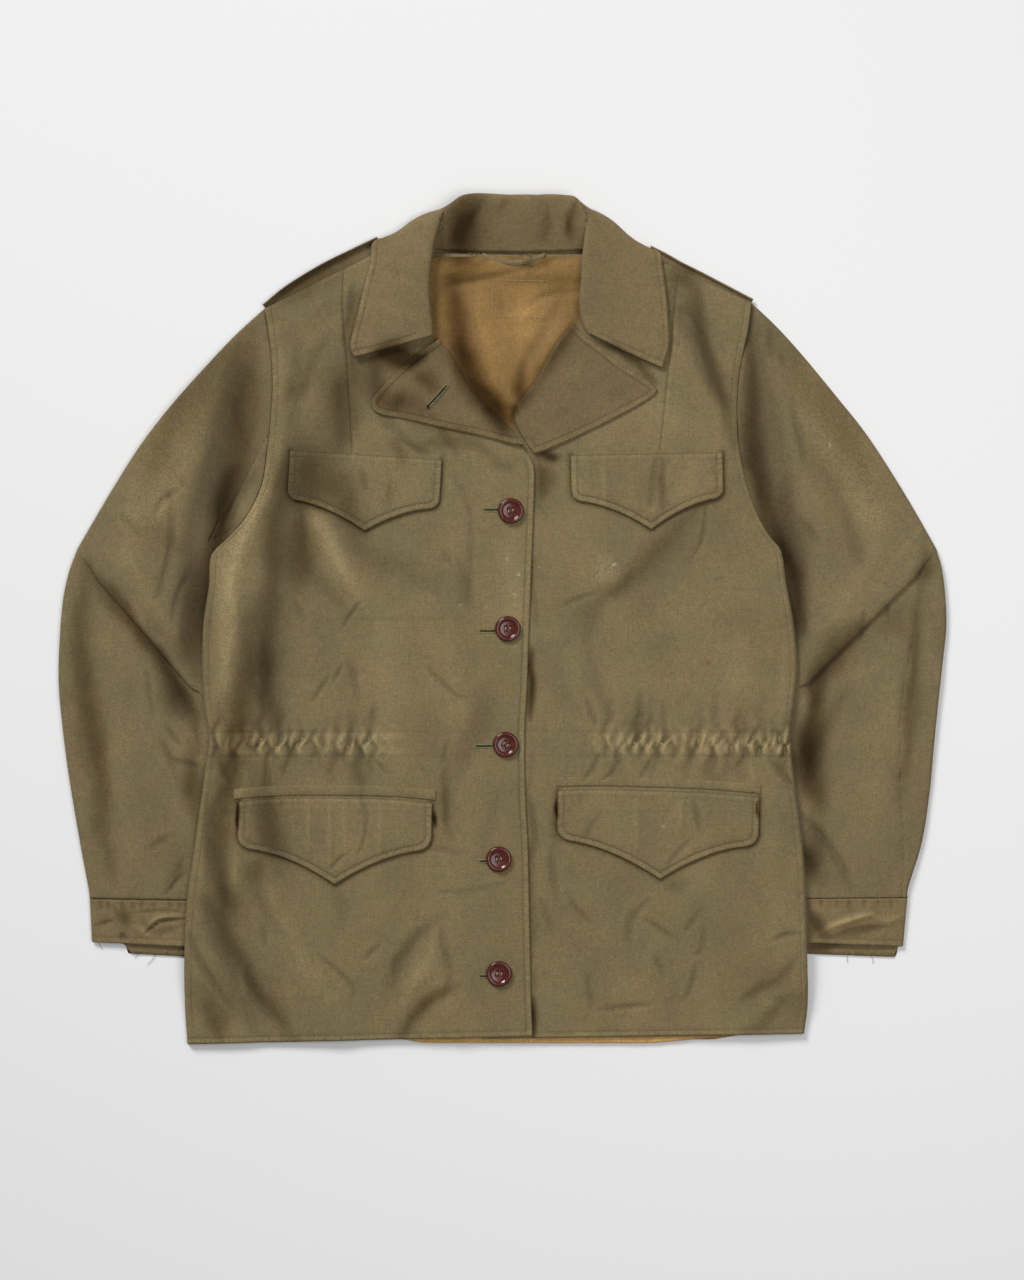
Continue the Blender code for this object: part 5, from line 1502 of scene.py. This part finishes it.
# How far the lining stands up off the back inside the neck, and where its hem shows
NECK_RISE = 1.9
NECK_HALF_WIDTH = 78.0
NECK_LOW_Y = 180.0
NECK_HIGH_Y = 331.0
LINING_HEM_Y = -372.0

LINING_CREASES = [
    (4, -0.9, -56, 324, -25, 328), (4, -1.2, -56, 297, -47, 301, -2, 310, 25, 317),
    (4, -1.1, 25, 283, 38, 292, 72, 297), (3, -0.7, 41, 326, 43, 310), (3, -0.6, -2, 288, 2, 270),
    (9, 1.1, -20, 297, -12, 245, -2, 198), (6, -1.3, -56, 261, -29, 225, -20, 198),
    (6, -1.3, 52, 288, 34, 252, 11, 216), (5, 0.7, -50, 312, -10, 322, 20, 326), (5, 0.6, 10, 268, 30, 280),
]


def lining_z(x, y):
    """Height of the lining's outer face."""
    inside = smooth((NECK_HALF_WIDTH - np.abs(x - COLLAR_CENTRE_X)) / 12)
    inside = inside * smooth((y - NECK_LOW_Y) / 20) * smooth((NECK_HIGH_Y - y) / 12)
    relief = 1.5 * creases(LINING_CREASES, x, y) + crumple(x, y, 141)
    return kept_above(support(x, y) + LINING_TOP + NECK_RISE * inside + relief, support(x, y) + WALL + 0.9)


def lining(finish):
    """The lining of the back, fine where it shows in the neck and along the hem."""
    table = np.array([(low, y, high, y) for y, low, high in LINING_SECTIONS], float)
    rows = section_rows(table, lambda y: np.where(y > 190, 1.5, np.where(y < -360, 1.6, 12.0)))
    sections = spline(table, rows)
    sections = sections[np.argsort(-sections[:, 1])]
    low, high = sections[:, :1], sections[:, 2:3]
    x = low + (high - low) * np.linspace(0, 1, 121)[None]
    y = sections[:, 1:2] + 0 * x
    from_ends = np.minimum((x - low) / 40, (high - x) / 70)
    y = y + 4.6 * (1 - smooth(from_ends)) * smooth((LINING_HEM_Y - y) / 8)
    at_hem = smooth((LINING_HEM_Y - y) / 5)
    hem_z = support(x, y) + LINING_TOP + 0.3 * noise_along(x, 6, 143)
    z = lining_z(x, y) * (1 - at_hem) + hem_z * at_hem
    detail = creases(LINING_CREASES, x, y) + 0.5 * crumple(x, y, 141)
    # The hem strip that shows under the fronts is painted lighter: a painted highlight against their shade
    paint = dict(stand=detail, edge_mm=y + 381.0, painted_light=painted_light(x, y, "body") + 0.40 * at_hem)
    return shell("lining_cloth", surface(x, y, z), LINING_WALL, paint, finish, flip=True)


# The hanger loop: its width, where it starts, how long it is and how far it sags
LOOP_WIDTH = 5.2
LOOP_START = (-18.0, 328.0)
LOOP_LENGTH = 56.0
LOOP_SAG = 6.5
LOOP_WALL = 1.1


def hanger_loop(finish):
    """The loop at the back of the neck: a narrow folded tape that sags over the lining."""
    t = np.linspace(0, 1, 61)[:, None]
    across = np.linspace(-1, 1, 13)[None]
    sag = np.sin(math.pi * t)
    along, middle = LOOP_START[0] + LOOP_LENGTH * t, LOOP_START[1] - LOOP_SAG * sag
    z = support(along, middle) + LINING_TOP + 1.4 + 1.6 * sag
    z = z + 0.45 * np.cos(across * 2.6) + 0.25 * noise_along(LOOP_LENGTH * t, 6, 151)
    grid = surface(along + 0 * across, middle + across * LOOP_WIDTH / 2, z)
    paint = dict(seam_mm=np.abs(np.abs(across) - 0.62) * LOOP_WIDTH / 2 + 0.5 + 0 * z)
    return shell("hanger_loop_cloth", grid, LOOP_WALL, paint, finish)


# ---------------------------------------------------------------- buttons

# The turned profile of a button from the middle of its face round to the middle of its back
BUTTON_PROFILE = [
    (0.0, 2.0), (4.0, 2.05), (6.6, 2.25), (7.6, 2.7), (8.6, 3.3), (9.6, 3.5), (10.6, 3.2), (11.3, 2.5),
    (11.5, 1.9), (11.2, 1.1), (9.8, 0.5), (6.0, 0.1), (0.0, 0.0),
]


# How far the holes are from the middle, how wide and deep they are, and how far each button has turned
HOLE_OUT = 2.7
HOLE_RADIUS = 0.95
HOLE_RUN = 0.45
HOLE_DEPTH = 1.4
THREAD_OVER = 1.1
THREAD_RISE = 1.3
BUTTON_TURNS = np.radians([12.0, 2.0, -32.0, 8.0, -6.0])


def button_piece(number, centre, finish):
    """A four-hole button: a turned profile, its dished middle sunk where the holes are."""
    profile = spline(np.array(BUTTON_PROFILE), np.linspace(0, len(BUTTON_PROFILE) - 1, 97))
    profile[:, 0] = np.maximum(profile[:, 0], 0.0)
    angle = np.linspace(0, 2 * math.pi, 73)[:-1]
    radius, height = profile[1:-1, :1], profile[1:-1, 1:]
    x, y = radius * np.cos(angle), radius * np.sin(angle)
    z = height + 0 * x
    for k in range(4):
        turn = BUTTON_TURNS[number - 1] + math.pi / 4 + k * math.pi / 2
        hole = np.hypot(x - HOLE_OUT * math.cos(turn), y - HOLE_OUT * math.sin(turn))
        z = np.where(z > HOLE_DEPTH, z - HOLE_DEPTH * (1 - smooth((hole - HOLE_RADIUS) / HOLE_RUN)), z)
    base = float(right_top(*centre)) + BUTTON_LIFT
    ring = surface(x + centre[0], y + centre[1], z + base).reshape(-1, 3)
    points = np.concatenate([ring, [(*centre, profile[0, 1] + base), (*centre, profile[-1, 1] + base)]])
    count = len(angle)
    last = len(ring) - count
    faces = cells(len(profile) - 2, count, 0, True)[:, ::-1].tolist()
    faces += [[len(ring), k, (k + 1) % count] for k in range(count)]
    faces += [[len(ring) + 1, last + (k + 1) % count, last + k] for k in range(count)]
    return finish_piece(f"button_{number}_turned", points, faces, {}, finish)


def button_threads():
    """Two short threads in each button, from hole to hole over the dish."""
    rows = []
    for turned, (x, y) in zip(BUTTON_TURNS, BUTTON_CENTRES):
        z = float(right_top(x, y)) + BUTTON_LIFT + THREAD_OVER
        for sides in ((3, 5), (1, 7)):
            holes = [turned + side * math.pi / 4 for side in sides]
            ends = [(x + HOLE_OUT * math.cos(angle), y + HOLE_OUT * math.sin(angle), z) for angle in holes]
            rows.append((*ends[0], *ends[1], THREAD_RISE))
    return rows


# ---------------------------------------------------------------- threads

# Stitches: how far one stands up or sinks in, how thick each kind is, and their pitch in a buttonhole
STITCH_RISE = 0.12
THICKNESS = {
    "stitches": 0.62, "waist_stitches": 0.55, "buttonhole_stitches": 0.6, "button_threads": 0.75,
    "label_stitches": 0.5,
}
STITCH_SINK = 0.5
SLOT_PITCH = 0.62

# Where a slot's threads start and end across its edge, and round its two ends
SLOT_EDGE = (0.6, 2.1)
FAN_START = 0.8
FAN_REACH = (2.4, 2.0)

# How wide the near-black strands of painted shadow in a slot and in the eyelet at its end are, and how wide
# the loose threads are
SLOT_SHADOW = 1.1
EYELET_SHADOW = 3.2
LOOP_STRAND = 0.6
CUFF_STRAND = 0.32

# The buttonholes of the right front: where each slot starts and ends
BUTTONHOLES = [
    [(-16.5, 99), (-3.5, 99)],
    [(-20.5, -10), (-6, -10)],
    [(-24, -113.5), (-9, -113.5)],
    [(-20.5, -217), (-14, -217)],
    [(-20.5, -320.5), (-14, -320.5)],
]

# The bare stitched rectangle inside the neck, side by side, and the pitch and length of its stitches
LABEL_STITCH = (2.6, 1.7)
LABEL_SEWING = [[(-8.5, 306), (41.5, 305)], [(41.5, 305), (36.5, 272)], [(36.5, 272), (-9.5, 273.5)],
                [(-9.5, 273.5), (-8.5, 306)]]

# Loose threads at the hanger loop and under the cuffs, with their heights over what they lie on
LOOP_STRANDS = [
    [(-31, 338, 1.0), (-24, 334, 2.0), (-17, 331, 1.2), (-10, 334, 1.4)],
    [(-28, 332, 1.0), (-20, 337, 1.8), (-12, 334, 1.6), (-4, 336, 1.0)],
    [(-34, 335, 0.8), (-27, 329, 1.6), (-20, 333, 1.4), (-14, 328, 0.8)],
    [(14, 327, 1.0), (21, 331, 2.2), (27, 325, 2.2), (20, 322, 1.8), (16, 326, 1.0)],
    [(18, 330, 1.0), (25, 328, 2.6), (22, 321, 1.2), (29, 319, 0.8)],
]
CUFF_STRANDS = [
    [(-364, -289, 1.2), (-363, -293, 0.6), (-360.5, -297.5, 0.4)],
    [(-327, -297, 1.0), (-328, -301, 0.5), (-332, -305, 0.4)],
    [(-312, -299, 1.0), (-314, -304, 0.6), (-320.5, -311.5, 0.4)],
    [(309, -299, 1.0), (311, -305, 0.5), (311, -309, 0.4)],
    [(331, -301, 1.0), (334, -306, 0.5), (334, -310, 0.4)],
]

# Threads are tubes of so many sides. A short one has rings at these shares of its length, so wide each.
SIDES = 6
STRAND_RINGS = 15
THREAD_PROFILE = [(0.0, 0.0), (0.12, 0.8), (0.5, 1.0), (0.88, 0.8), (1.0, 0.0)]


def threads(name, runs, thick, finish):
    """Short pieces of thread as one mesh: each run is a start, an end and how far its middle stands up. The
    cross section is six-sided and closes to a point at both ends."""
    runs = np.asarray(runs, float)
    start, end, bow = runs[:, :3], runs[:, 3:6], runs[:, 6]
    along = unit(end - start)
    side = unit(np.cross(along, (0.0, 0.0, 1.0)))
    up = np.cross(side, along)
    points = []
    for share, wide in THREAD_PROFILE:
        centre = start + (end - start) * share + up * (bow * 4 * share * (1 - share))[:, None]
        for turn in np.arange(SIDES if wide else 1) * 2 * math.pi / SIDES:
            points.append(centre + (side * math.cos(turn) + up * math.sin(turn)) * (wide * thick / 2))
    each = len(points)
    points = np.stack(points, axis=1).reshape(-1, 3)
    faces = tube_faces(0, len(THREAD_PROFILE) - 2)
    faces = [[n + each * k for n in face] for k in range(len(runs)) for face in faces]
    return finish_piece(name, points, faces, {}, finish, flip=True)


def tube_faces(first, rings):
    """Faces of a six-sided tube with a point at both ends, whose points start at number first."""
    last = first + 1 + (rings - 1) * SIDES
    faces = [(first, first + 1 + k, first + 1 + (k + 1) % SIDES) for k in range(SIDES)]
    faces += cells(rings, SIDES, first + 1, True)[:, ::-1].tolist()
    return faces + [(last + k, last + SIDES, last + (k + 1) % SIDES) for k in range(SIDES)]


def stitch_runs(path, height, pitch=2.9, long=1.9):
    """Stitches along a path of places, each lying on the height given there: start, end and rise of each."""
    line = curve(path, 2.0)
    length = lengths_along(line)
    at = np.arange(0.5, length[-1] - long, pitch)
    starts, ends = (
        np.stack([np.interp(place, length, line[:, k]) for k in (0, 1)], axis=1) for place in (at, at + long)
    )
    return laid(starts, ends, height, STITCH_RISE, STITCH_RISE)


def lying_on(piece, reach=2.3):
    """The height of a piece's upper face as a function of place: that of its highest point near by."""
    points = np.empty(len(piece.data.vertices) * 3)
    piece.data.vertices.foreach_get("co", points)
    points = points.reshape(-1, 3) / MM

    def height(x, y):
        away = np.hypot(points[:, :1] - np.atleast_1d(x), points[:, 1:2] - np.atleast_1d(y))
        return np.where(away < reach, points[:, 2:], 0.0).max(axis=0)

    return height


def laid(starts, ends, height, rise=0.25, over=0.05):
    """Straight threads between pairs of places, each end lying a little over the height given there."""
    lifted = [np.column_stack([place, height(place[:, 0], place[:, 1]) + over]) for place in (starts, ends)]
    return np.column_stack([*lifted, np.full(len(starts), rise)])


def buttonhole(slot, height):
    """The threads round a bound slot: a row across each long edge, and a fan round each end."""
    start, end = np.array(slot, float)
    along = unit(end - start)
    across = np.array([-along[1], along[0]])
    places = start + along * np.arange(0.0, math.dist(start, end), SLOT_PITCH)[:, None]
    near, far = across * SLOT_EDGE[0], across * SLOT_EDGE[1]
    rows = [laid(places + sign * near, places + sign * far, height) for sign in (-1, 1)]
    turn = np.linspace(0, 2 * math.pi, 17)[:-1]
    for middle, reach, inward in zip((start, end), FAN_REACH, (-along, along)):
        spokes = np.stack([np.cos(turn), np.sin(turn)], axis=1)
        spokes = spokes[spokes @ inward > -0.2]
        rows.append(laid(middle + spokes * FAN_START, middle + spokes * reach, height))
    return np.concatenate(rows)


def strands(name, paths, thick, finish):
    """Loose threads as one mesh: each a six-sided tube along its own curve, pointed at both ends."""
    points, faces = [], []
    angle = np.arange(SIDES)[:, None] * 2 * math.pi / SIDES
    for path, width in zip(paths, thick):
        line = spline(np.array(path, float), np.linspace(0, len(path) - 1, STRAND_RINGS + 2))
        along = np.gradient(line, axis=0)
        side = unit(np.cross(along, (0.0, 0.0, 1.0)))
        up = unit(np.cross(side, along))
        spokes = side[1:-1, None] * np.cos(angle) + up[1:-1, None] * np.sin(angle)
        ring = line[1:-1, None] + spokes * width / 2
        faces += tube_faces(sum(len(part) for part in points), STRAND_RINGS)
        points.append(np.concatenate([line[:1], ring.reshape(-1, 3), line[-1:]]))
    return finish_piece(name, np.concatenate(points), faces, {}, finish, flip=True)


# ---------------------------------------------------------------- finishes


# What the colour under the deepest painted shade is multiplied by, so that it is browner than the rest
WARMER = (1.16, 1.0, 0.8)


def linear(colour):
    """A colour written as six sRGB digits, as linear red, green, blue and alpha."""
    parts = np.array([int(colour[k:k + 2], 16) for k in (0, 2, 4)]) / 255.0
    return (*np.where(parts <= 0.04045, parts / 12.92, ((parts + 0.055) / 1.055) ** 2.4), 1.0)


def add(tree, kind, inputs=None, **settings):
    """A node with its settings. Each input is a value, or another node's output that is linked to it."""
    made = tree.nodes.new(kind)
    for key, value in settings.items():
        setattr(made, key, value)
    for key, value in (inputs or {}).items():
        if isinstance(value, bpy.types.NodeSocket):
            tree.links.new(value, made.inputs[key])
        else:
            made.inputs[key].default_value = value
    return made


def maths(tree, operation, a, b=0.0):
    """The outcome of an operation on two values."""
    return add(tree, "ShaderNodeMath", {0: a, 1: b}, operation=operation).outputs[0]


def ramp(tree, value, low, high, to_low=0.0, to_high=1.0):
    """A smooth change from one number to another while the value goes from low to high."""
    inputs = {"Value": value, "From Min": low, "From Max": high, "To Min": to_low, "To Max": to_high}
    return add(tree, "ShaderNodeMapRange", inputs, interpolation_type="SMOOTHSTEP").outputs["Result"]


def swell(tree, place, size, detail=2.0, stretch=(1.0, 1.0, 1.0), shift=0.0):
    """Noise whose features are about so many millimetres wide."""
    scale = tuple(share / size for share in stretch)
    inputs = {"Vector": place, "Location": (shift, shift * 0.7, 0.0), "Scale": scale}
    moved = add(tree, "ShaderNodeMapping", inputs).outputs["Vector"]
    inputs = {"Vector": moved, "Scale": 1.0, "Detail": detail, "Roughness": 0.55}
    return add(tree, "ShaderNodeTexNoise", inputs).outputs["Fac"]


def mixed(tree, share, a, b):
    """Colour a with a share of colour b mixed in."""
    made = add(tree, "ShaderNodeMix", {0: share, 6: a, 7: b}, data_type="RGBA")
    return made.outputs[2]


def new_finish(name):
    """A new material, its nodes and its shader."""
    made = bpy.data.materials.new(name)
    made.use_nodes = True
    tree = made.node_tree
    return made, tree, tree.nodes["Principled BSDF"]


def paint_of(tree, key):
    """The number per point that a piece of cloth carries under a name."""
    return add(tree, "ShaderNodeAttribute", attribute_name=key).outputs["Fac"]


def millimetres(tree):
    """The place on the object, in millimetres."""
    place = add(tree, "ShaderNodeTexCoord").outputs["Object"]
    return add(tree, "ShaderNodeVectorMath", {0: place, 3: 1 / MM}, operation="SCALE").outputs[0]


# The grains of woven cloth: patches, blots, rumple, speckle, grit, warp and weft. Each has its size in
# millimetres, detail, frequency along X and Y, offset, whether a cloth's own offset is added, and its share
# in how light the cloth is
GRAINS = [
    (46.0, 3.0, 1.0, 1.0, 0.0, 1, 0.2),
    (9.0, 3.0, 1.0, 1.0, 3.1, 1, 0.26),
    (4.4, 2.0, 1.0, 0.6, 8.3, 1, 0.24),
    (2.1, 2.0, 1.0, 1.0, 5.7, 1, 0.6),
    (0.9, 1.0, 1.0, 1.0, 0.0, 0, 0.62),
    (1.1, 1.0, 1.0, 0.12, 2.0, 0, 0.28),
    (1.1, 1.0, 0.12, 1.0, 4.0, 0, 0.24),
]

# How light the cloth is where nothing darkens it, and the power that turns a painted share into light
MEAN_LIGHT = 0.96
DISPLAY_GAMMA = 2.2
RUBBED_COLOUR = "b3a684"
RUST_COLOUR = "7a4a28"


def cloth(name, brown, green, pale, roughness=0.8, sheen=0.1, grain=1.0, shift=0.0):
    """Woven cotton: brown and green patches, fine speckle, slubs both ways, darker seams, rubbed edges, and
    painted light and shade from the painted shares and from how far the cloth stands.
    """
    made, tree, shader = new_finish(name)

    def plus(a, b):
        return maths(tree, "ADD", a, b)

    def times(a, b):
        return maths(tree, "MULTIPLY", a, b)

    place = millimetres(tree)
    grains = [swell(tree, place, size, detail, (wide, tall, 1.0), at + own * shift)
              for size, detail, wide, tall, at, own, _ in GRAINS]
    patches, blots, _, speckle, grit, warp, weft = grains
    hue = ramp(tree, plus(times(patches, 0.6), times(blots, 0.4)), 0.36, 0.64)
    colour = mixed(tree, hue, linear(brown), linear(green))

    # light: the cloth's grain, painted shade in its hollows and painted highlight where it stands up, its
    # seams and edges, and the painted light and shade of the strokes
    light = MEAN_LIGHT
    for source, row in zip(grains, GRAINS):
        light = plus(light, times(maths(tree, "SUBTRACT", source, 0.5), row[-1] * grain))
    stand, edge_at = paint_of(tree, "stand"), paint_of(tree, "edge_mm")
    seam = ramp(tree, plus(paint_of(tree, "seam_mm"), times(speckle, 0.5)), 0.55, 1.35, 0.70, 1.0)
    from_groove = maths(tree, "ABSOLUTE", maths(tree, "SUBTRACT", edge_at, EDGE_STITCH))
    groove = ramp(tree, from_groove, 0.2, 1.2, 0.84, 1.0)
    light = times(times(light, ramp(tree, stand, -2.2, 1.9, 0.72, 1.16)), times(seam, groove))
    # The painted light and shade of the strokes, as a factor on the cloth's light
    depth = plus(paint_of(tree, "painted_light"), 1.0)
    shade = maths(tree, "POWER", depth, DISPLAY_GAMMA)
    light = times(light, shade)

    # colours laid over it: rubbed edges, high places rubbed and painted paler as a highlight, marks, and a
    # warmer colour under the deepest painted shade
    lip = times(ramp(tree, edge_at, 0.7, 4.6, 0.24, 0.0), ramp(tree, speckle, 0.34, 0.6, 0.3, 1.0))
    high = times(ramp(tree, stand, 0.8, 2.4, 0.0, 0.22), ramp(tree, grit, 0.35, 0.6))
    rubbed = times(paint_of(tree, "rubbed"), ramp(tree, speckle, 0.3, 0.62))
    rust = paint_of(tree, "rust")
    for share, over in ((lip, pale), (high, pale), (rubbed, RUBBED_COLOUR), (rust, RUST_COLOUR)):
        colour = mixed(tree, share, colour, linear(over))
    warm = add(tree, "ShaderNodeVectorMath", {0: colour, 1: WARMER}, operation="MULTIPLY").outputs[0]
    colour = mixed(tree, ramp(tree, depth, 0.4, 1.0), warm, colour)
    colour = add(tree, "ShaderNodeVectorMath", {0: colour, 3: light}, operation="SCALE").outputs[0]

    threads_up = plus(times(grit, 0.5), plus(times(warp, 0.35), times(weft, 0.35)))
    bump = add(tree, "ShaderNodeBump", {"Height": threads_up, "Strength": 0.5 * grain, "Distance": 0.6 * MM})
    # Sheen and specular highlight are weakened under the painted shade
    linked = {"Base Color": colour, "Normal": bump.outputs["Normal"], "Sheen Weight": times(shade, sheen),
              "Specular IOR Level": times(shade, 0.4)}
    for key, value in linked.items():
        tree.links.new(value, shader.inputs[key])
    for key, value in {"Roughness": roughness, "IOR": 1.5, "Sheen Roughness": 0.45}.items():
        shader.inputs[key].default_value = value
    return made


def plain_finish(name, colour, roughness, other=None, size=2.0, ior=1.5):
    """One colour, or a mottle of two, with a roughness of its own."""
    made, tree, shader = new_finish(name)
    share = ramp(tree, swell(tree, millimetres(tree), size), 0.35, 0.65)
    tree.links.new(mixed(tree, share, linear(colour), linear(other or colour)), shader.inputs["Base Color"])
    shader.inputs["Roughness"].default_value = roughness
    shader.inputs["IOR"].default_value = ior
    return made


# ---------------------------------------------------------------- the jacket

OLIVE = cloth("olive_cotton_sateen", "7d6b47", "716543", "9c8c62")
OLIVE_SLEEVE = cloth("olive_cotton_sateen_sleeve", "7b6947", "6e6241", "9a8a60", shift=40.0)
OLIVE_FADED = cloth("olive_cotton_sateen_faded", "7d6946", "726240", "9f8d60", shift=80.0)
TAN_LINING = cloth("tan_cotton_lining", "8f6d3b", "7e602d", "ab884c", roughness=0.75, grain=0.9, shift=120.0)
BROWN_PLASTIC = plain_finish("brown_moulded_plastic", "54231a", 0.16, "471c13", 6.0, ior=1.45)
OLIVE_THREAD = plain_finish("olive_sewing_thread", "6f6444", 0.75, "60573b", 3.0)
BOUND_THREAD = plain_finish("green_buttonhole_thread", "8a8458", 0.75, "767049", 3.0)
PALE_THREAD = plain_finish("pale_sewing_thread", "b9ab86", 0.75, "a39670", 3.0)
# Near-black finish of the strands that paint the shadow inside the slots
SHADOW = plain_finish("shadowed_slot", "1c1910", 0.95, "14120b", 3.0)
DARK_THREAD = plain_finish("dark_sewing_thread", "4a4230", 0.8, "5a5038", 3.0)


def stand_for(piece, node):
    """Hides the CAD node that a piece takes the place of."""
    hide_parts(node)
    return piece


def front_sewing(side):
    """The stitches of a front as paths: those in olive thread, then the dark ones of the waist's tunnel."""
    rows = section_rows(FRONT_SECTIONS[side], lambda y: np.full(len(y), 12.0))
    sections = spline(FRONT_SECTIONS[side], rows)
    start, end = sections[:, :2], sections[:, 2:4]
    inward = unit(end - start)
    arm = rows < UNDERARM_ROW
    olive = [start[arm] + inward[arm] * ARMHOLE_STITCH, start[~arm] + inward[~arm] * SIDE_STITCH]
    if side == "right":
        low = rows > EDGED_FROM_ROW + 1.5
        olive.append(end[low] - inward[low] * EDGE_STITCH)
    hem = start[-1] + (end[-1] - start[-1]) * np.linspace(0.02, 0.98, 12)[:, None]
    olive.append(hem + (0, EDGE_STITCH))
    outer = start[:, 0][np.abs(start[:, 1] - WAIST_Y).argmin()]
    run = outer + (BAND_ENDS[side][0] - outer) * np.linspace(0.03, 1.0, 10)
    dark = [[(x, WAIST_Y + at) for x in run] for at in (-BAND_HALF, BAND_HALF)]
    dark += [[(x, WAIST_Y + BAND_HALF * s) for s in (-1.0, 0.0, 1.0)] for x in BAND_ENDS[side]]
    return olive, dark


def sewing():
    """The rows of stitches on the fronts and on the flaps, by the colour of their thread."""
    runs = {"olive": [], "dark": []}
    for side in OUTWARD:
        for key, paths in zip(runs, front_sewing(side)):
            for path in paths:
                runs[key].append(stitch_runs(path, lambda x, y: front_z(side, x, y) - STITCH_SINK))
    for name, flap in FLAPS.items():
        side = name.split("_")[0]
        edge = flap_line(flap, 60)
        step = unit(np.gradient(edge, axis=0))
        inside = (edge + np.stack([-step[:, 1], step[:, 0]], axis=1) * EDGE_STITCH)[4:-4]
        over = PATCH_GAP + DOUBLE_WALL + 0.55
        runs["olive"].append(stitch_runs(inside, lambda x, y: front_z(side, x, y) + over))
    return {key: np.concatenate(value) for key, value in runs.items()}


def cloth_pieces():
    """Every cloth piece by its name, each hiding the CAD node that it stands for."""
    rows = []
    for side in OUTWARD:
        rows += [
            (f"{side}_front", front(side, OLIVE), f"{side}_front", "olive"),
            (f"{side}_sleeve", sleeve(side, OLIVE_SLEEVE), f"{side}_sleeve", "olive"),
            (f"{side}_cuff", cuff(side, OLIVE_FADED), f"{side}_cuff", "faded"),
            (f"{side}_lapel", lapel(side, OLIVE_FADED), f"{side}_lapel", "faded"),
            (f"{side}_strap", shoulder_strap(side, OLIVE_FADED), f"{side}_shoulder_strap", "faded"),
        ]
    rows.append(("collar", collar(OLIVE_FADED), "collar", "faded"))
    rows += [(name, pocket_flap(name, flap, OLIVE), name, "faded") for name, flap in FLAPS.items()]
    rows += [(name, pocket_welt(name, welt, OLIVE), name, "olive") for name, welt in WELTS.items()]
    rows += [
        ("back", back_piece(OLIVE), "back", "olive"),
        ("lining", lining(TAN_LINING), "back_lining", "tan"),
        ("loop", hanger_loop(OLIVE), "hanger_loop", "olive"),
    ]
    return {name: stand_for(piece, node) for name, piece, node, slot in rows}


# Each lamp: name, place in metres, side of its square and power in watts
LAMPS = [("key", (-2.7, 3.9, 3.5), 2.0, 284.0), ("fill", (0.65, -0.05, 1.9), 1.2, 17.5)]
AMBIENT = 0.2
CAMERA_PLACE = (0.00855, -0.018, 2.726)
FLOOR_HALF = 3.0
FLOOR_Z = -0.0004


def placed(name, data, place=(0.0, 0.0, 0.0)):
    """A new object in the scene from its data."""
    made = bpy.data.objects.new(name, data)
    made.location = place
    bpy.context.scene.collection.objects.link(made)
    return made


def stage_and_light():
    """A pale floor, a large soft key from the upper left, light from all round, and the camera above."""
    mesh = bpy.data.meshes.new("floor")
    corners = [(-1, -1), (1, -1), (1, 1), (-1, 1)]
    mesh.from_pydata([(x * FLOOR_HALF, y * FLOOR_HALF, FLOOR_Z) for x, y in corners], [], [(0, 1, 2, 3)])
    mesh.materials.append(plain_finish("pale_floor", "e8e8e8", 0.9))
    placed("floor", mesh)
    for name, place, size, power in LAMPS:
        lamp = bpy.data.lights.new(name, "AREA")
        lamp.size = size
        lamp.energy = power
        x, y, z = place
        turn = (math.atan2(math.hypot(x, y), z), 0.0, math.atan2(y, x) + math.pi / 2)
        placed(name, lamp, place).rotation_euler = turn
    world = bpy.data.worlds.new("studio")
    world.use_nodes = True
    world.node_tree.nodes["Background"].inputs["Color"].default_value = (1.0, 1.0, 1.0, 1.0)
    world.node_tree.nodes["Background"].inputs["Strength"].default_value = AMBIENT
    bpy.context.scene.world = world
    lens = bpy.data.cameras.new("camera")
    lens.lens = 85.0
    lens.clip_end = 50.0
    bpy.context.scene.camera = placed("camera", lens, CAMERA_PLACE)
    bpy.context.scene.view_settings.view_transform = "Standard"
    bpy.context.scene.view_settings.look = "None"


def thread_pieces(made):
    """All the sewing: stitches, bound slots, near-black strands of painted shadow in each slot and in the
    lapel slot's eyelet, button threads and loose ends.
    """
    def on_right(x, y):
        return front_z("right", x, y)

    on_lapel, on_lining = lying_on(made["right_lapel"]), lying_on(made["lining"])
    slots = [(slot, on_right) for slot in BUTTONHOLES] + [(BUTTONHOLE_LINE, on_lapel)]
    runs = sewing()
    bound = np.concatenate([buttonhole(slot, height) for slot, height in slots])
    label = np.concatenate([stitch_runs(path, on_lining, *LABEL_STITCH) for path in LABEL_SEWING])
    loose = [[(x, y, float(on_lining(x, y)[0]) + z) for x, y, z in path] for path in LOOP_STRANDS]
    # Near-black strands of painted shadow along each slot and in the lapel slot's eyelet
    dark = []
    for slot, height in slots:
        places = np.linspace(*np.array(slot, float), 4)
        dark.append(np.column_stack([places, height(places[:, 0], places[:, 1]) + 0.1]))
    eyelet = np.array(BUTTONHOLE_LINE[1]) + np.outer([1, 0, -1], (0.0, 1.7))
    dark.append(np.column_stack([eyelet, on_lapel(eyelet[:, 0], eyelet[:, 1]) - 0.1]))
    wide = [LOOP_STRAND] * len(loose) + [CUFF_STRAND] * len(CUFF_STRANDS)
    rows = (
        ("stitches", runs["olive"], OLIVE_THREAD),
        ("waist_stitches", runs["dark"], DARK_THREAD),
        ("buttonhole_stitches", bound, BOUND_THREAD),
        ("button_threads", button_threads(), PALE_THREAD),
        ("label_stitches", label, PALE_THREAD),
    )
    return [
        *(threads(name, stitches, THICKNESS[name], finish) for name, stitches, finish in rows),
        strands("loose_threads", loose + CUFF_STRANDS, wide, OLIVE_THREAD),
        strands("slot_shadow_strands", dark, [SLOT_SHADOW] * len(slots) + [EYELET_SHADOW], SHADOW),
    ]


def main():
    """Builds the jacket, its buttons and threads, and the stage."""
    made = cloth_pieces()
    for number, centre in enumerate(BUTTON_CENTRES, 1):
        stand_for(button_piece(number, centre, BROWN_PLASTIC), f"button_{number}")
    for piece in thread_pieces(made):
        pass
    stage_and_light()


main()
